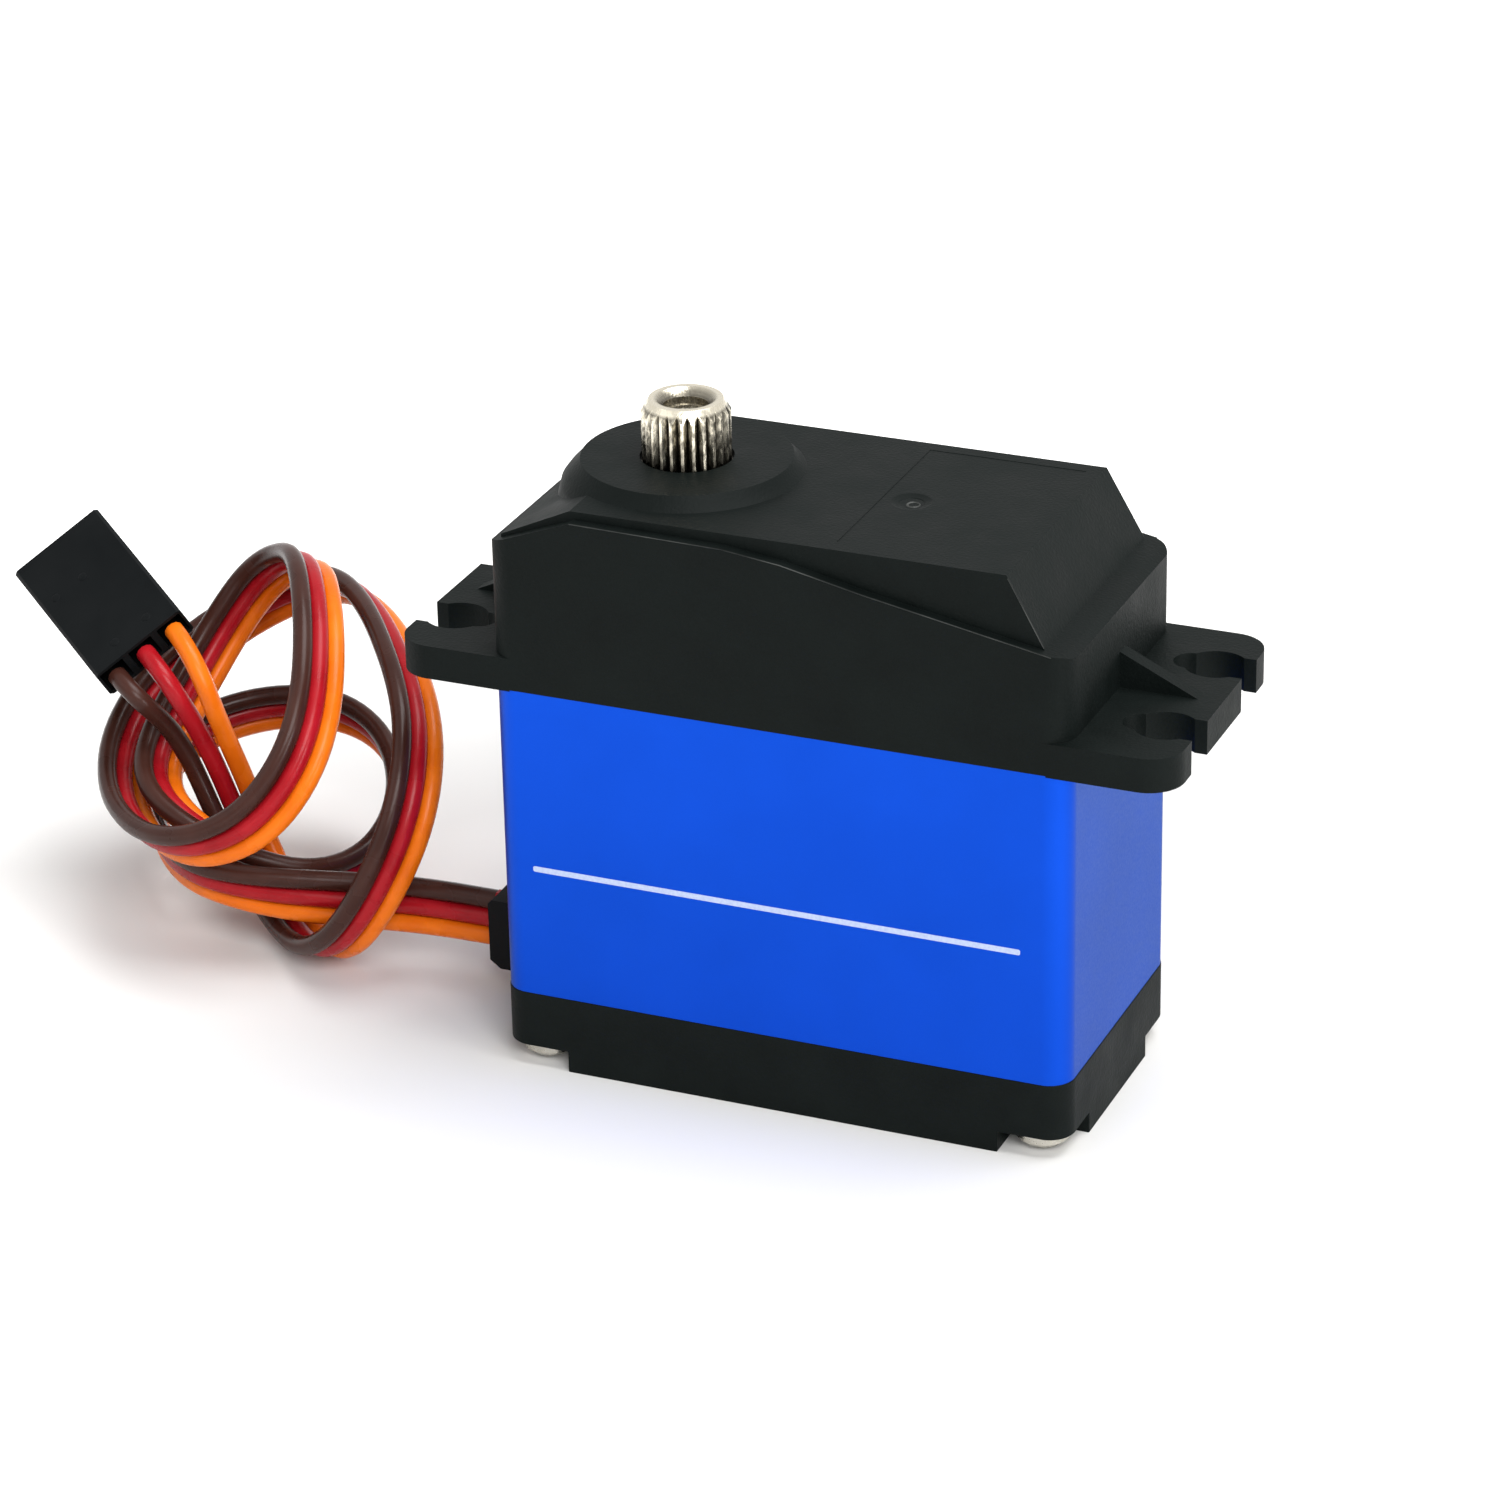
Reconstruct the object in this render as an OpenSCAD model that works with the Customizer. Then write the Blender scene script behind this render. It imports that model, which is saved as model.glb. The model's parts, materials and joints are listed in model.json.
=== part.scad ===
// Standard-size servo motor with a metal centre case and steel gears.
// Millimetres. X runs along the case, with the output shaft towards -X, and Z is up.
// The origin is under the middle of the case, on the surface that it stands on.

/* [Case] */
// Length of the case without its flanges
case_l = 40.2; // [39:0.1:46]
// Width of the case
case_w = 20.4; // [20:0.1:24]
// Height of the bottom cover
cover_h = 5.5; // [5.2:0.1:8]
// Height of the metal centre case
sleeve_h = 22.1; // [21.5:0.1:28]
// Height of the gear housing, up to its flat roof
housing_h = 13.1; // [12.9:0.1:16]
// Wall of the three case parts
wall = 1.5; // [1.2:0.1:1.6]
// Radius of the case's upright corners
corner_r = 1.8; // [1.2:0.1:2.6]
// How far the metal case lies back from the plastic ones
sleeve_inset = 0.05; // [0:0.05:0.3]
// Thickness of the deck that the motor hangs from
deck_t = 2; // [1.9:0.1:2.6]

/* [Flanges] */
// Length over both flanges
flange_l = 54; // [53:0.1:62]
// Thickness of the flanges
flange_t = 2.35; // [2:0.05:3.2]
// Distance between the slots along the case
slot_pitch_x = 49.5; // [48.5:0.1:56]
// Distance between the slots across the case
slot_pitch_y = 10; // [9.5:0.1:12]
// Diameter of a slot's screw hole
slot_hole_d = 4.2; // [3.6:0.1:4.6]
// Width of a slot's open mouth
slot_mouth = 3.1; // [2.4:0.1:3.4]
// Thickness of the gusset over each flange
gusset_t = 1.1; // [0.8:0.1:2]
// Length of each gusset on its flange
gusset_l = 5.3; // [3:0.1:6]

/* [Output] */
// Distance of the output shaft from the middle of the case
shaft_offset = 10; // [9.6:0.1:10.4]
// Diameter over the spline's teeth
spline_d = 5.9; // [5.6:0.05:5.95]
// Number of teeth on the spline
spline_teeth = 25; // [21:1:25]
// Height of the spline above the boss
spline_h = 4; // [3:0.1:5]
// Height of the boss above the roof
boss_h = 0.9; // [0.7:0.1:1.6]
// Diameter of the boss at its top
boss_d = 14; // [13:0.1:15]
// Diameter of the tapped hole in the shaft
horn_hole_d = 2.5; // [2:0.1:2.6]
// Depth of the tapped hole
horn_hole_depth = 8; // [5:0.5:9]

/* [Bearings] */
// Bore of the upper ball bearing
upper_bearing_id = 6; // [5.8:0.1:6.4]
// Outer diameter of the upper ball bearing
upper_bearing_od = 10; // [9.5:0.1:10.4]
// Bore of the lower ball bearing
lower_bearing_id = 4; // [3.8:0.1:4.2]
// Outer diameter of the lower ball bearing
lower_bearing_od = 8; // [7.6:0.1:8.4]
// Width of both bearings
bearing_w = 3; // [2.5:0.1:3]

/* [Gears] */
// Module of the two slow gear pairs
slow_module = 0.5; // [0.48:0.01:0.5]
// Module of the pair at the motor
motor_module = 0.35; // [0.33:0.01:0.36]
// Teeth on the motor's pinion
motor_teeth = 10; // [9:1:11]
// Teeth on the first gear's wheel
wheel1_teeth = 38; // [34:1:38]
// Teeth on the first gear's pinion
pinion1_teeth = 12; // [12:1:14]
// Teeth on the second gear's wheel
wheel2_teeth = 38; // [34:1:38]
// Teeth on the second gear's pinion
pinion2_teeth = 12; // [12:1:13]
// Teeth on the third gear's wheel
wheel3_teeth = 28; // [27:1:28]
// Teeth on the third gear's pinion
pinion3_teeth = 10; // [10:1:11]
// Teeth on the output gear
output_teeth = 30; // [29:1:30]
// Face widths of the four wheels, motor side first
face1 = 1.8; // [1.4:0.1:1.9]
face2 = 1.6; // [1.4:0.1:1.7]
face3 = 2; // [1.6:0.1:2.1]
face4 = 2.8; // [2.2:0.1:2.9]
// Diameter of the idler pin
idler_pin_d = 2; // [1.5:0.1:2.2]

/* [Motor] */
// Clearance between the motor's can and the metal case
motor_gap = 0.65; // [0.2:0.05:1]
// Length of the motor's can
motor_l = 18.2; // [16:0.1:18.6]
// Diameter of the motor's shaft
motor_shaft_d = 2; // [1.5:0.1:2]

/* [Screws] */
// Diameter of the long case screws
screw_d = 2; // [1.6:0.1:2.2]
// Diameter of their heads
screw_head_d = 3.6; // [3:0.1:3.9]
// Distance of the screws from the case's ends
screw_end = 2.4; // [2.3:0.1:2.6]

/* [Lead] */
// Diameter of one insulated wire
wire_d = 1.4; // [1.2:0.05:1.5]
// Width of the strain relief's boot
boot_w = 3.4; // [2.8:0.1:4]
// Height of the strain relief's boot
boot_h = 5.2; // [4.8:0.1:5.6]
// Length of the boot outside the case
boot_l = 5; // [4.6:0.1:5.8]
// Length of the connector housing
plug_l = 12.8; // [11:0.1:14]
// Width of the connector housing
plug_w = 7.5; // [7.4:0.1:8]
// Thickness of the connector housing
plug_t = 2.6; // [2.5:0.1:3]

/* [Hidden] */
$fn = 64;
eps = 0.01;

// Levels
z_sleeve = cover_h;
z_deck = cover_h + sleeve_h;
z_roof = z_deck + housing_h;
z_boss = z_roof + boss_h;
z_flange = z_deck + flange_t;
floor_t = wall;
deck_low = z_deck - deck_t;
roof_t = 2.3;
z_ceiling = z_roof - roof_t;
gear_gap = 0.4;
pinion_over = 0.2;
z_wheel1 = z_deck + gear_gap;
z_wheel2 = z_wheel1 + face1 + gear_gap;
z_pinion1_top = z_wheel2 + face2 + pinion_over;
z_wheel3 = z_pinion1_top + gear_gap;
z_pinion2_top = z_wheel3 + face3 + pinion_over;
z_wheel4 = z_wheel3 + face3 + gear_gap;
z_pinion3_top = z_wheel4 + face4 + pinion_over;

// Axes
shaft_x = -shaft_offset;
slow_centre = slow_module * (pinion3_teeth + output_teeth) / 2;
idler_x = shaft_x + slow_centre;
wheel3_module = 2 * slow_centre / (pinion2_teeth + wheel3_teeth);
wheel2_module = 2 * slow_centre / (pinion1_teeth + wheel2_teeth);
motor_x = idler_x + motor_module * (motor_teeth + wheel1_teeth) / 2;
screw_x = case_l / 2 - screw_end;
screw_y = case_w / 2 - screw_end;

// Gear form
pressure_angle = 25;
addendum = 0.8;
dedendum = 1;
backlash = 0.03;

// Bearing seats
lip_t = 0.5;
z_upper_bearing = z_boss - lip_t - bearing_w;
z_lower_bearing = z_deck - bearing_w;
fit_gap = 0.02;
run_gap = 0.05;

// Case details
column_r = screw_end - 0.2;
screw_hole_r = screw_d / 2 + 0.15;
foot_x = screw_x - screw_head_d / 2 - 0.55;
foot_y = screw_y - screw_head_d / 2 - 0.35;
sleeve_l = case_l - 2 * sleeve_inset;
sleeve_w = case_w - 2 * sleeve_inset;
sleeve_r = corner_r - sleeve_inset;
rim_h = 0.1;
rim_t = wall * 0.7;
inner_y = case_w / 2 - sleeve_inset - wall;
board_z = 3.2;
board_t = 1;
board_low_x = -13.2;

function inv_deg(a) = tan(a) * 180 / PI - a;
function polar(r, a) = [r * cos(a), r * sin(a)];

// Half the angle that a tooth takes at radius r
function half_tooth(m, z, r) =
  90 / z - backlash / (m * z / 2) * 180 / PI + inv_deg(pressure_angle)
  - inv_deg(acos(min(1, m * z / 2 * cos(pressure_angle) / r)));

function flank_radii(m, z) =
  let (root = m * (z / 2 - dedendum), base = m * z / 2 * cos(pressure_angle))
  [root, max(base, root + 0.01), m * z / 2, m * (z / 2 + addendum)];

function tooth_points(m, z, centre) =
  let (radii = flank_radii(m, z))
  concat(
    [for (i = [0 : 3]) polar(radii[i], centre - half_tooth(m, z, max(radii[i], radii[1])))],
    [for (i = [3 : -1 : 0]) polar(radii[i], centre + half_tooth(m, z, max(radii[i], radii[1])))]
  );

function gear_points(m, z, phase) =
  [for (k = [0 : z - 1]) each tooth_points(m, z, phase + k * 360 / z)];

// A spur gear with a tooth at the angle phase
module spur(m, z, face, phase, bore_r) {
  difference() {
    linear_extrude(face) polygon(gear_points(m, z, phase));
    translate([0, 0, -1]) cylinder(h = face + 2, r = bore_r);
  }
}

module rounded_plate(l, w, r, h) {
  linear_extrude(h) union() {
    square([l - 2 * r, w], center = true);
    square([l, w - 2 * r], center = true);
    for (sx = [-1, 1], sy = [-1, 1]) translate([sx * (l / 2 - r), sy * (w / 2 - r)]) circle(r);
  }
}

// A profile in X and Z, spread over a width in Y
module slab(points, width) {
  rotate([90, 0, 0]) linear_extrude(width, center = true) polygon(points);
}

module at_screws() {
  for (sx = [-1, 1], sy = [-1, 1]) translate([sx * screw_x, sy * screw_y, 0]) children();
}

module ring(r_in, r_out, h) {
  difference() {
    cylinder(h = h, r = r_out);
    translate([0, 0, -1]) cylinder(h = h + 2, r = r_in);
  }
}

// ---- Case ----

// The side walls' upper edge: level beside the boss, then falling to the motor's end
skirt_left = [shaft_x - 3.9, z_roof - 0.55];
skirt_flat_end = [shaft_x + 6.7, z_roof - 0.75];
skirt_low = z_roof - 4.9;
end_left_z = z_roof - 2.75;
end_right_z = z_roof - 5.2;
roof_left_x = shaft_x - 4.2;
roof_right_x = case_l / 2 - 4.45;
roof_foot_x = case_l / 2 - 1.6;
core_low_w = case_w - 0.9;
core_top_w = case_w - 1.6;

module skirt() {
  x_end = case_l / 2;
  profile = [
    [-x_end, z_deck], [-x_end, end_left_z - 0.3], [-x_end + 0.3, end_left_z],
    skirt_left, skirt_flat_end, [skirt_flat_end[0] + 4, z_roof - 1.25],
    [skirt_flat_end[0] + 9.6, z_roof - 2.45], [x_end - 0.6, skirt_low],
    [x_end, end_right_z], [x_end, z_deck]
  ];
  intersection() {
    translate([0, 0, z_deck]) rounded_plate(case_l, case_w, corner_r, housing_h + 1);
    slab(profile, case_w + 2);
  }
}

// The raised roof, with drafted sides and a sloping face at each end
module roof_block() {
  profile = [
    [-case_l / 2 + 1, z_deck + 1], [-case_l / 2 + 1, end_left_z + 0.5], [roof_left_x, z_roof],
    [roof_right_x, z_roof], [roof_foot_x, skirt_low - 0.2], [roof_foot_x, z_deck + 1]
  ];
  section = [
    [-core_low_w / 2, z_deck], [core_low_w / 2, z_deck],
    [core_top_w / 2, z_roof], [-core_top_w / 2, z_roof]
  ];
  intersection() {
    slab(profile, case_w);
    rotate([90, 0, 90]) linear_extrude(case_l, center = true) polygon(section);
  }
}

module boss() {
  foot_r = boss_d / 2 + 1.5;
  translate([shaft_x, 0, 0]) rotate_extrude() polygon([
    [0, z_roof - 1.6], [foot_r, z_roof - 1.6], [foot_r - 0.25, z_roof - 0.6],
    [foot_r - 0.7, z_roof], [boss_d / 2 + 0.25, z_boss - 0.35], [boss_d / 2, z_boss], [0, z_boss]
  ]);
}

// An open keyhole slot: a screw hole, a smaller lobe behind it and a mouth in front
module slot() {
  lobe_r = 1.2;
  lobe_back = 1.65;
  translate([0, 0, z_deck - 1]) {
    cylinder(h = flange_t + 2, r = slot_hole_d / 2);
    translate([-lobe_back, 0, 0]) cylinder(h = flange_t + 2, r = lobe_r);
    translate([0, -slot_mouth / 2, 0]) cube([10, slot_mouth, flange_t + 2]);
  }
}

module gusset() {
  x_wall = case_l / 2 - 0.5;
  slab([
    [x_wall, z_flange - 0.5], [case_l / 2 + gusset_l, z_flange - 0.5],
    [case_l / 2 + gusset_l, z_flange], [x_wall, z_flange + 2.75]
  ], gusset_t);
}

module gear_chamber() {
  chamber_y = core_top_w / 2 - 0.9;
  x_out = case_l / 2 - wall - 0.3;
  profile = [
    [-x_out, z_deck - 1], [x_out, z_deck - 1], [x_out, end_right_z - 1.5],
    [roof_right_x - 0.6, z_ceiling], [-x_out + 1, z_ceiling], [-x_out, z_ceiling - 0.3]
  ];
  slab(profile, 2 * chamber_y);
}

module top_case() {
  column_top = z_deck + 8;
  color([0.09, 0.09, 0.1]) {
    difference() {
      union() {
        difference() {
          union() {
            translate([0, 0, z_deck]) rounded_plate(flange_l, case_w, 2.4, flange_t);
            skirt();
            roof_block();
            boss();
            gusset();
            mirror([1, 0, 0]) gusset();
          }
          gear_chamber();
        }
        at_screws() translate([0, 0, z_deck]) cylinder(h = column_top - z_deck, r = column_r);
      }
      for (sx = [0, 1], sy = [-1, 1]) mirror([sx, 0, 0])
        translate([slot_pitch_x / 2, sy * slot_pitch_y / 2, 0]) slot();
      translate([shaft_x, 0, z_ceiling - 1])
        cylinder(h = z_upper_bearing + bearing_w - z_ceiling + 1, r = upper_bearing_od / 2 + fit_gap);
      translate([shaft_x, 0, z_ceiling]) cylinder(h = 10, r = upper_bearing_id / 2 + 0.1);
      translate([idler_x, 0, z_ceiling - 1]) cylinder(h = 2.5, r = idler_pin_d / 2 + fit_gap);
      at_screws() translate([0, 0, z_deck - 1]) cylinder(h = 8.5, r = screw_d / 2 + fit_gap);
      translate([idler_x + 5.8, -0.3, z_roof - 0.15]) cylinder(h = 1, r = 1.4);
      translate([0, 0, z_deck - 1]) rounded_plate(case_l + 2 * fit_gap, case_w + 2 * fit_gap,
        corner_r + fit_gap, 1 + rim_h);
    }
  }
}

module mid_case() {
  bearing_boss_r = lower_bearing_od / 2 + 1.2;
  ledge = z_lower_bearing - 1.5;
  color([0.08, 0.28, 0.82]) difference() {
    union() {
      difference() {
        translate([0, 0, z_sleeve]) rounded_plate(sleeve_l, sleeve_w, sleeve_r, sleeve_h + rim_h);
        translate([0, 0, z_sleeve - 1])
          rounded_plate(sleeve_l - 2 * wall, sleeve_w - 2 * wall, corner_r / 2, deck_low - z_sleeve + 1);
        translate([0, 0, z_deck])
          rounded_plate(sleeve_l - 2 * rim_t, sleeve_w - 2 * rim_t, corner_r / 2, 2 * rim_h);
      }
      at_screws() translate([0, 0, z_sleeve])
        cylinder(h = sleeve_h - deck_t / 2, r = column_r - sleeve_inset);
      translate([shaft_x, 0, ledge]) cylinder(h = z_deck - ledge - deck_t / 2, r = bearing_boss_r);
    }
    at_screws() translate([0, 0, z_sleeve - 1]) cylinder(h = sleeve_h + 2, r = screw_hole_r);
    translate([shaft_x, 0, z_lower_bearing]) cylinder(h = bearing_w + 1, r = lower_bearing_od / 2 + fit_gap);
    translate([shaft_x, 0, ledge - 1]) cylinder(h = 5, r = lower_bearing_od / 2 - 1);
    translate([idler_x, 0, z_deck - 1.6]) cylinder(h = 3, r = idler_pin_d / 2 + fit_gap);
    translate([motor_x, 0, deck_low - 1]) cylinder(h = deck_t + 2, r = motor_boss_r + run_gap);
    for (sy = [-1, 1]) translate([motor_x, sy * motor_screw_y, deck_low - 1]) {
      cylinder(h = deck_t + 2, r = motor_screw_r + 0.1);
      translate([0, 0, 1 + deck_t - motor_head_h - 0.1]) cylinder(h = 3, r = motor_head_r + 0.15);
    }
    boot_notch();
  }
}

module boot_notch() {
  gap = 0.05;
  translate([-case_l / 2 - 1, -boot_w / 2 - gap, boot_z - boot_h / 2 - gap])
    cube([wall + 2.5, boot_w + 2 * gap, boot_h + 2 * gap]);
}

module bottom_cover() {
  rail_h = board_z - floor_t;
  recess_h = floor_t;
  pocket_t = 1.2;
  color([0.09, 0.09, 0.1]) difference() {
    union() {
      difference() {
        rounded_plate(case_l, case_w, corner_r, cover_h);
        translate([0, 0, floor_t])
          rounded_plate(case_l - 2 * wall, case_w - 2 * wall, corner_r / 2, cover_h);
      }
      at_screws() translate([0, 0, recess_h - eps]) cylinder(h = cover_h - recess_h + eps, r = column_r);
      intersection() {
        translate([0, 0, recess_h - eps])
          rounded_plate(case_l - wall, case_w - wall, corner_r, pocket_t + eps);
        for (sx = [-1, 1], sy = [-1, 1])
          translate([sx * (foot_x + 4), sy * (foot_y + 4), recess_h]) cube([10, 10, 10], center = true);
      }
      for (x = [-9, 13]) translate([x - 0.5, -inner_y + 0.3, floor_t - eps])
        cube([1, 2 * inner_y - 0.6, rail_h + eps]);
    }
    for (sx = [-1, 1], sy = [-1, 1]) translate([sx * (foot_x + 5), sy * (foot_y + 5), 0])
      cube([10, 10, 2 * recess_h], center = true);
    at_screws() translate([0, 0, -1]) cylinder(h = cover_h + 2, r = screw_hole_r);
    boot_notch();
  }
}

module case_screws() {
  head_h = 1.2;
  shank_h = cover_h + sleeve_h + 7 - floor_t;
  color([0.8, 0.8, 0.82]) at_screws() difference() {
    union() {
      translate([0, 0, floor_t]) cylinder(h = shank_h, r = screw_d / 2);
      translate([0, 0, floor_t - head_h + 0.4]) cylinder(h = head_h - 0.4, r = screw_head_d / 2);
      translate([0, 0, floor_t - head_h])
        cylinder(h = 0.4, r1 = screw_head_d / 2 - 0.45, r2 = screw_head_d / 2);
    }
    for (a = [0, 90]) rotate(a) translate([-1, -0.25, floor_t - head_h - 1]) cube([2, 0.5, 1.6]);
  }
}

// ---- Gears ----

module idler_pin() {
  low = z_deck - 1.6;
  color([0.75, 0.75, 0.77]) translate([idler_x, 0, low])
    cylinder(h = z_ceiling + 1.5 - low, r = idler_pin_d / 2);
}

crest = 0.13;

// One turn of the spline: flat crests with V-shaped grooves between them
function spline_points(r_top, r_root, n) = [
  for (k = [0 : n - 1]) let (a = k * 360 / n, pitch = 360 / n)
    each [polar(r_top, a - pitch * crest), polar(r_top, a + pitch * crest), polar(r_root, a + pitch / 2)]
];

module output_gear() {
  spline_low = z_boss - 0.3;
  spline_top = z_boss + spline_h;
  spline_r = spline_d / 2;
  collar_r = upper_bearing_id / 2 + 0.7;
  journal_low = z_lower_bearing + 0.1;
  hole_r = horn_hole_d / 2;
  color([0.78, 0.76, 0.72]) translate([shaft_x, 0, 0]) difference() {
    union() {
      translate([0, 0, journal_low])
        cylinder(h = z_wheel4 - journal_low + 1, r = lower_bearing_id / 2 - fit_gap);
      translate([0, 0, z_wheel4]) linear_extrude(face4)
        polygon(gear_points(slow_module, output_teeth, 180 / output_teeth));
      translate([0, 0, z_wheel4 + face4 - eps])
        cylinder(h = z_upper_bearing - z_wheel4 - face4 + eps, r = collar_r);
      translate([0, 0, z_upper_bearing - eps])
        cylinder(h = spline_low - z_upper_bearing + eps, r = upper_bearing_id / 2 - fit_gap);
      intersection() {
        translate([0, 0, spline_low]) linear_extrude(spline_top - spline_low)
          polygon(spline_points(spline_r, spline_r - 0.32, spline_teeth));
        rotate_extrude() polygon([
          [0, spline_low], [spline_r + 0.1, spline_low], [spline_r + 0.1, spline_top - 1],
          [spline_r - 0.5, spline_top], [0, spline_top]
        ]);
      }
    }
    translate([0, 0, spline_top - horn_hole_depth]) cylinder(h = horn_hole_depth + 1, r = hole_r);
    translate([0, 0, spline_top - 1]) cylinder(h = 1.1, r = hole_r + 0.25);
    translate([0, 0, spline_top - 0.5]) cylinder(h = 0.6, r1 = hole_r + 0.25, r2 = hole_r + 0.85);
    translate([0, 0, journal_low - 1]) pot_tongue(z_deck - journal_low + 1.2, pot_shaft_r + fit_gap);
  }
}

module gear_1() {
  bore_r = idler_pin_d / 2 + run_gap;
  color([0.72, 0.7, 0.66]) translate([idler_x, 0, 0]) {
    translate([0, 0, z_wheel1]) spur(motor_module, wheel1_teeth, face1, 0, bore_r);
    translate([0, 0, z_wheel1 + face1]) spur(wheel2_module, pinion1_teeth,
      z_pinion1_top - z_wheel1 - face1, 180, bore_r);
  }
}

module gear_2() {
  bore_r = lower_bearing_id / 2 + run_gap;
  hub_r = lower_bearing_id / 2 + 0.65;
  hub_low = z_deck + 0.3;
  color([0.74, 0.72, 0.68]) translate([shaft_x, 0, 0]) {
    translate([0, 0, hub_low]) ring(bore_r, hub_r, z_wheel2 - hub_low);
    translate([0, 0, z_wheel2]) spur(wheel2_module, wheel2_teeth, face2, 180 / wheel2_teeth, bore_r);
    translate([0, 0, z_wheel2 + face2]) spur(wheel3_module, pinion2_teeth,
      z_pinion2_top - z_wheel2 - face2, 0, bore_r);
  }
}

module gear_3() {
  bore_r = idler_pin_d / 2 + run_gap;
  color([0.72, 0.7, 0.66]) translate([idler_x, 0, 0]) {
    translate([0, 0, z_wheel3]) spur(wheel3_module, wheel3_teeth, face3,
      180 + 180 / wheel3_teeth, bore_r);
    translate([0, 0, z_wheel3 + face3]) spur(slow_module, pinion3_teeth,
      z_pinion3_top - z_wheel3 - face3, 180, bore_r);
  }
}

// ---- Ball bearings ----

ball_gap = 0.04;
function ball_pitch_r(id, od) = (id + od) / 4;
function ball_r(od) = od * 0.06;
function land(id, od) = (od - id) * 0.1;

module race_groove(id, od, z) {
  translate([0, 0, z + bearing_w / 2]) rotate_extrude()
    translate([ball_pitch_r(id, od), 0]) circle(ball_r(od) + ball_gap);
}

module outer_race(id, od, z) {
  difference() {
    translate([0, 0, z]) ring(ball_pitch_r(id, od) + land(id, od), od / 2, bearing_w);
    race_groove(id, od, z);
  }
}

module inner_race(id, od, z) {
  difference() {
    translate([0, 0, z]) ring(id / 2, ball_pitch_r(id, od) - land(id, od), bearing_w);
    race_groove(id, od, z);
  }
}

// Balls joined by their cage
module ball_set(id, od, z, count) {
  pitch_r = ball_pitch_r(id, od);
  cage_half = ball_r(od) / 3;
  translate([0, 0, z + bearing_w / 2]) union() {
    for (k = [0 : count - 1]) rotate(k * 360 / count)
      translate([pitch_r, 0, 0]) sphere(ball_r(od), $fn = 32);
    translate([0, 0, -cage_half]) ring(pitch_r - cage_half, pitch_r + cage_half, 2 * cage_half);
  }
}

module upper_bearing_outer() {
  color([0.8, 0.8, 0.82]) translate([shaft_x, 0, 0])
    outer_race(upper_bearing_id, upper_bearing_od, z_upper_bearing);
}

module upper_bearing_inner() {
  color([0.8, 0.8, 0.82]) translate([shaft_x, 0, 0])
    inner_race(upper_bearing_id, upper_bearing_od, z_upper_bearing);
}

module upper_bearing_balls() {
  color([0.7, 0.7, 0.72]) translate([shaft_x, 0, 0])
    ball_set(upper_bearing_id, upper_bearing_od, z_upper_bearing, 11);
}

module lower_bearing_outer() {
  color([0.8, 0.8, 0.82]) translate([shaft_x, 0, 0])
    outer_race(lower_bearing_id, lower_bearing_od, z_lower_bearing);
}

module lower_bearing_inner() {
  color([0.8, 0.8, 0.82]) translate([shaft_x, 0, 0])
    inner_race(lower_bearing_id, lower_bearing_od, z_lower_bearing);
}

module lower_bearing_balls() {
  color([0.7, 0.7, 0.72]) translate([shaft_x, 0, 0])
    ball_set(lower_bearing_id, lower_bearing_od, z_lower_bearing, 8);
}

// ---- Motor ----

motor_d = sleeve_w - 2 * (wall + motor_gap);
can_wall = 0.8;
motor_low = deck_low - motor_l;
end_cap_t = 1.4;
motor_boss_r = 3;
motor_boss_h = 1.2;
motor_screw_r = 1;
motor_head_r = 1.75;
motor_head_h = 1.1;
motor_screw_y = motor_boss_r + motor_head_r + 0.75;
bushing_r = 2.2;
core_r = motor_d / 2 - 2.4;
core_low = motor_low + 4.2;
core_top = deck_low - 4;
commutator_r = 2.2;
commutator_low = motor_low + end_cap_t + 0.5;
magnet_t = 1.2;
magnet_over = 1;
terminal_y = motor_d / 2 - 2.6;
terminal_w = 1.5;
terminal_t = 0.4;

module motor_can() {
  color([0.7, 0.71, 0.73]) translate([motor_x, 0, 0]) difference() {
    union() {
      translate([0, 0, motor_low]) cylinder(h = motor_l, r = motor_d / 2);
      translate([0, 0, deck_low - eps]) cylinder(h = motor_boss_h + eps, r = motor_boss_r);
    }
    translate([0, 0, motor_low - 1]) cylinder(h = motor_l, r = motor_d / 2 - can_wall);
    translate([0, 0, deck_low - 3]) cylinder(h = 6, r = bushing_r + fit_gap);
    for (sy = [-1, 1])
      translate([0, sy * motor_screw_y, deck_low - 2]) cylinder(h = 3, r = motor_screw_r + fit_gap);
  }
}

module motor_bushing() {
  low = deck_low - 1.8;
  color([0.72, 0.52, 0.3]) translate([motor_x, 0, low])
    ring(motor_shaft_d / 2 + run_gap, bushing_r, deck_low + motor_boss_h - low);
}

module motor_end_cap() {
  hub_h = 1;
  color([0.2, 0.2, 0.22]) translate([motor_x, 0, 0]) difference() {
    union() {
      translate([0, 0, motor_low]) cylinder(h = end_cap_t, r = motor_d / 2 - can_wall - fit_gap);
      translate([0, 0, motor_low - hub_h]) cylinder(h = hub_h + eps, r = 2.4);
    }
    translate([0, 0, motor_low - hub_h - 1]) cylinder(h = 5, r = motor_shaft_d / 2 + run_gap);
  }
}

module motor_magnets() {
  r_out = motor_d / 2 - can_wall - fit_gap;
  height = core_top - core_low + 2 * magnet_over;
  color([0.3, 0.3, 0.32]) translate([motor_x, 0, core_low - magnet_over]) intersection() {
    ring(r_out - magnet_t, r_out, height);
    for (s = [-1, 1]) linear_extrude(height) polygon([
      [0, 0], [s * motor_d * 0.4, motor_d * 0.7], [s * motor_d, 0], [s * motor_d * 0.4, -motor_d * 0.7]
    ]);
  }
}

module motor_brushes() {
  brush_in = commutator_r + 0.05;
  color([0.35, 0.25, 0.2]) translate([motor_x, 0, 0]) for (a = [0, 180]) rotate(a) {
    translate([brush_in, -0.6, commutator_low + 0.2]) cube([1.2, 1.2, 0.8]);
    translate([brush_in + 1.2, -0.8, motor_low + end_cap_t]) cube([0.4, 1.6, 1.5]);
  }
}

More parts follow.
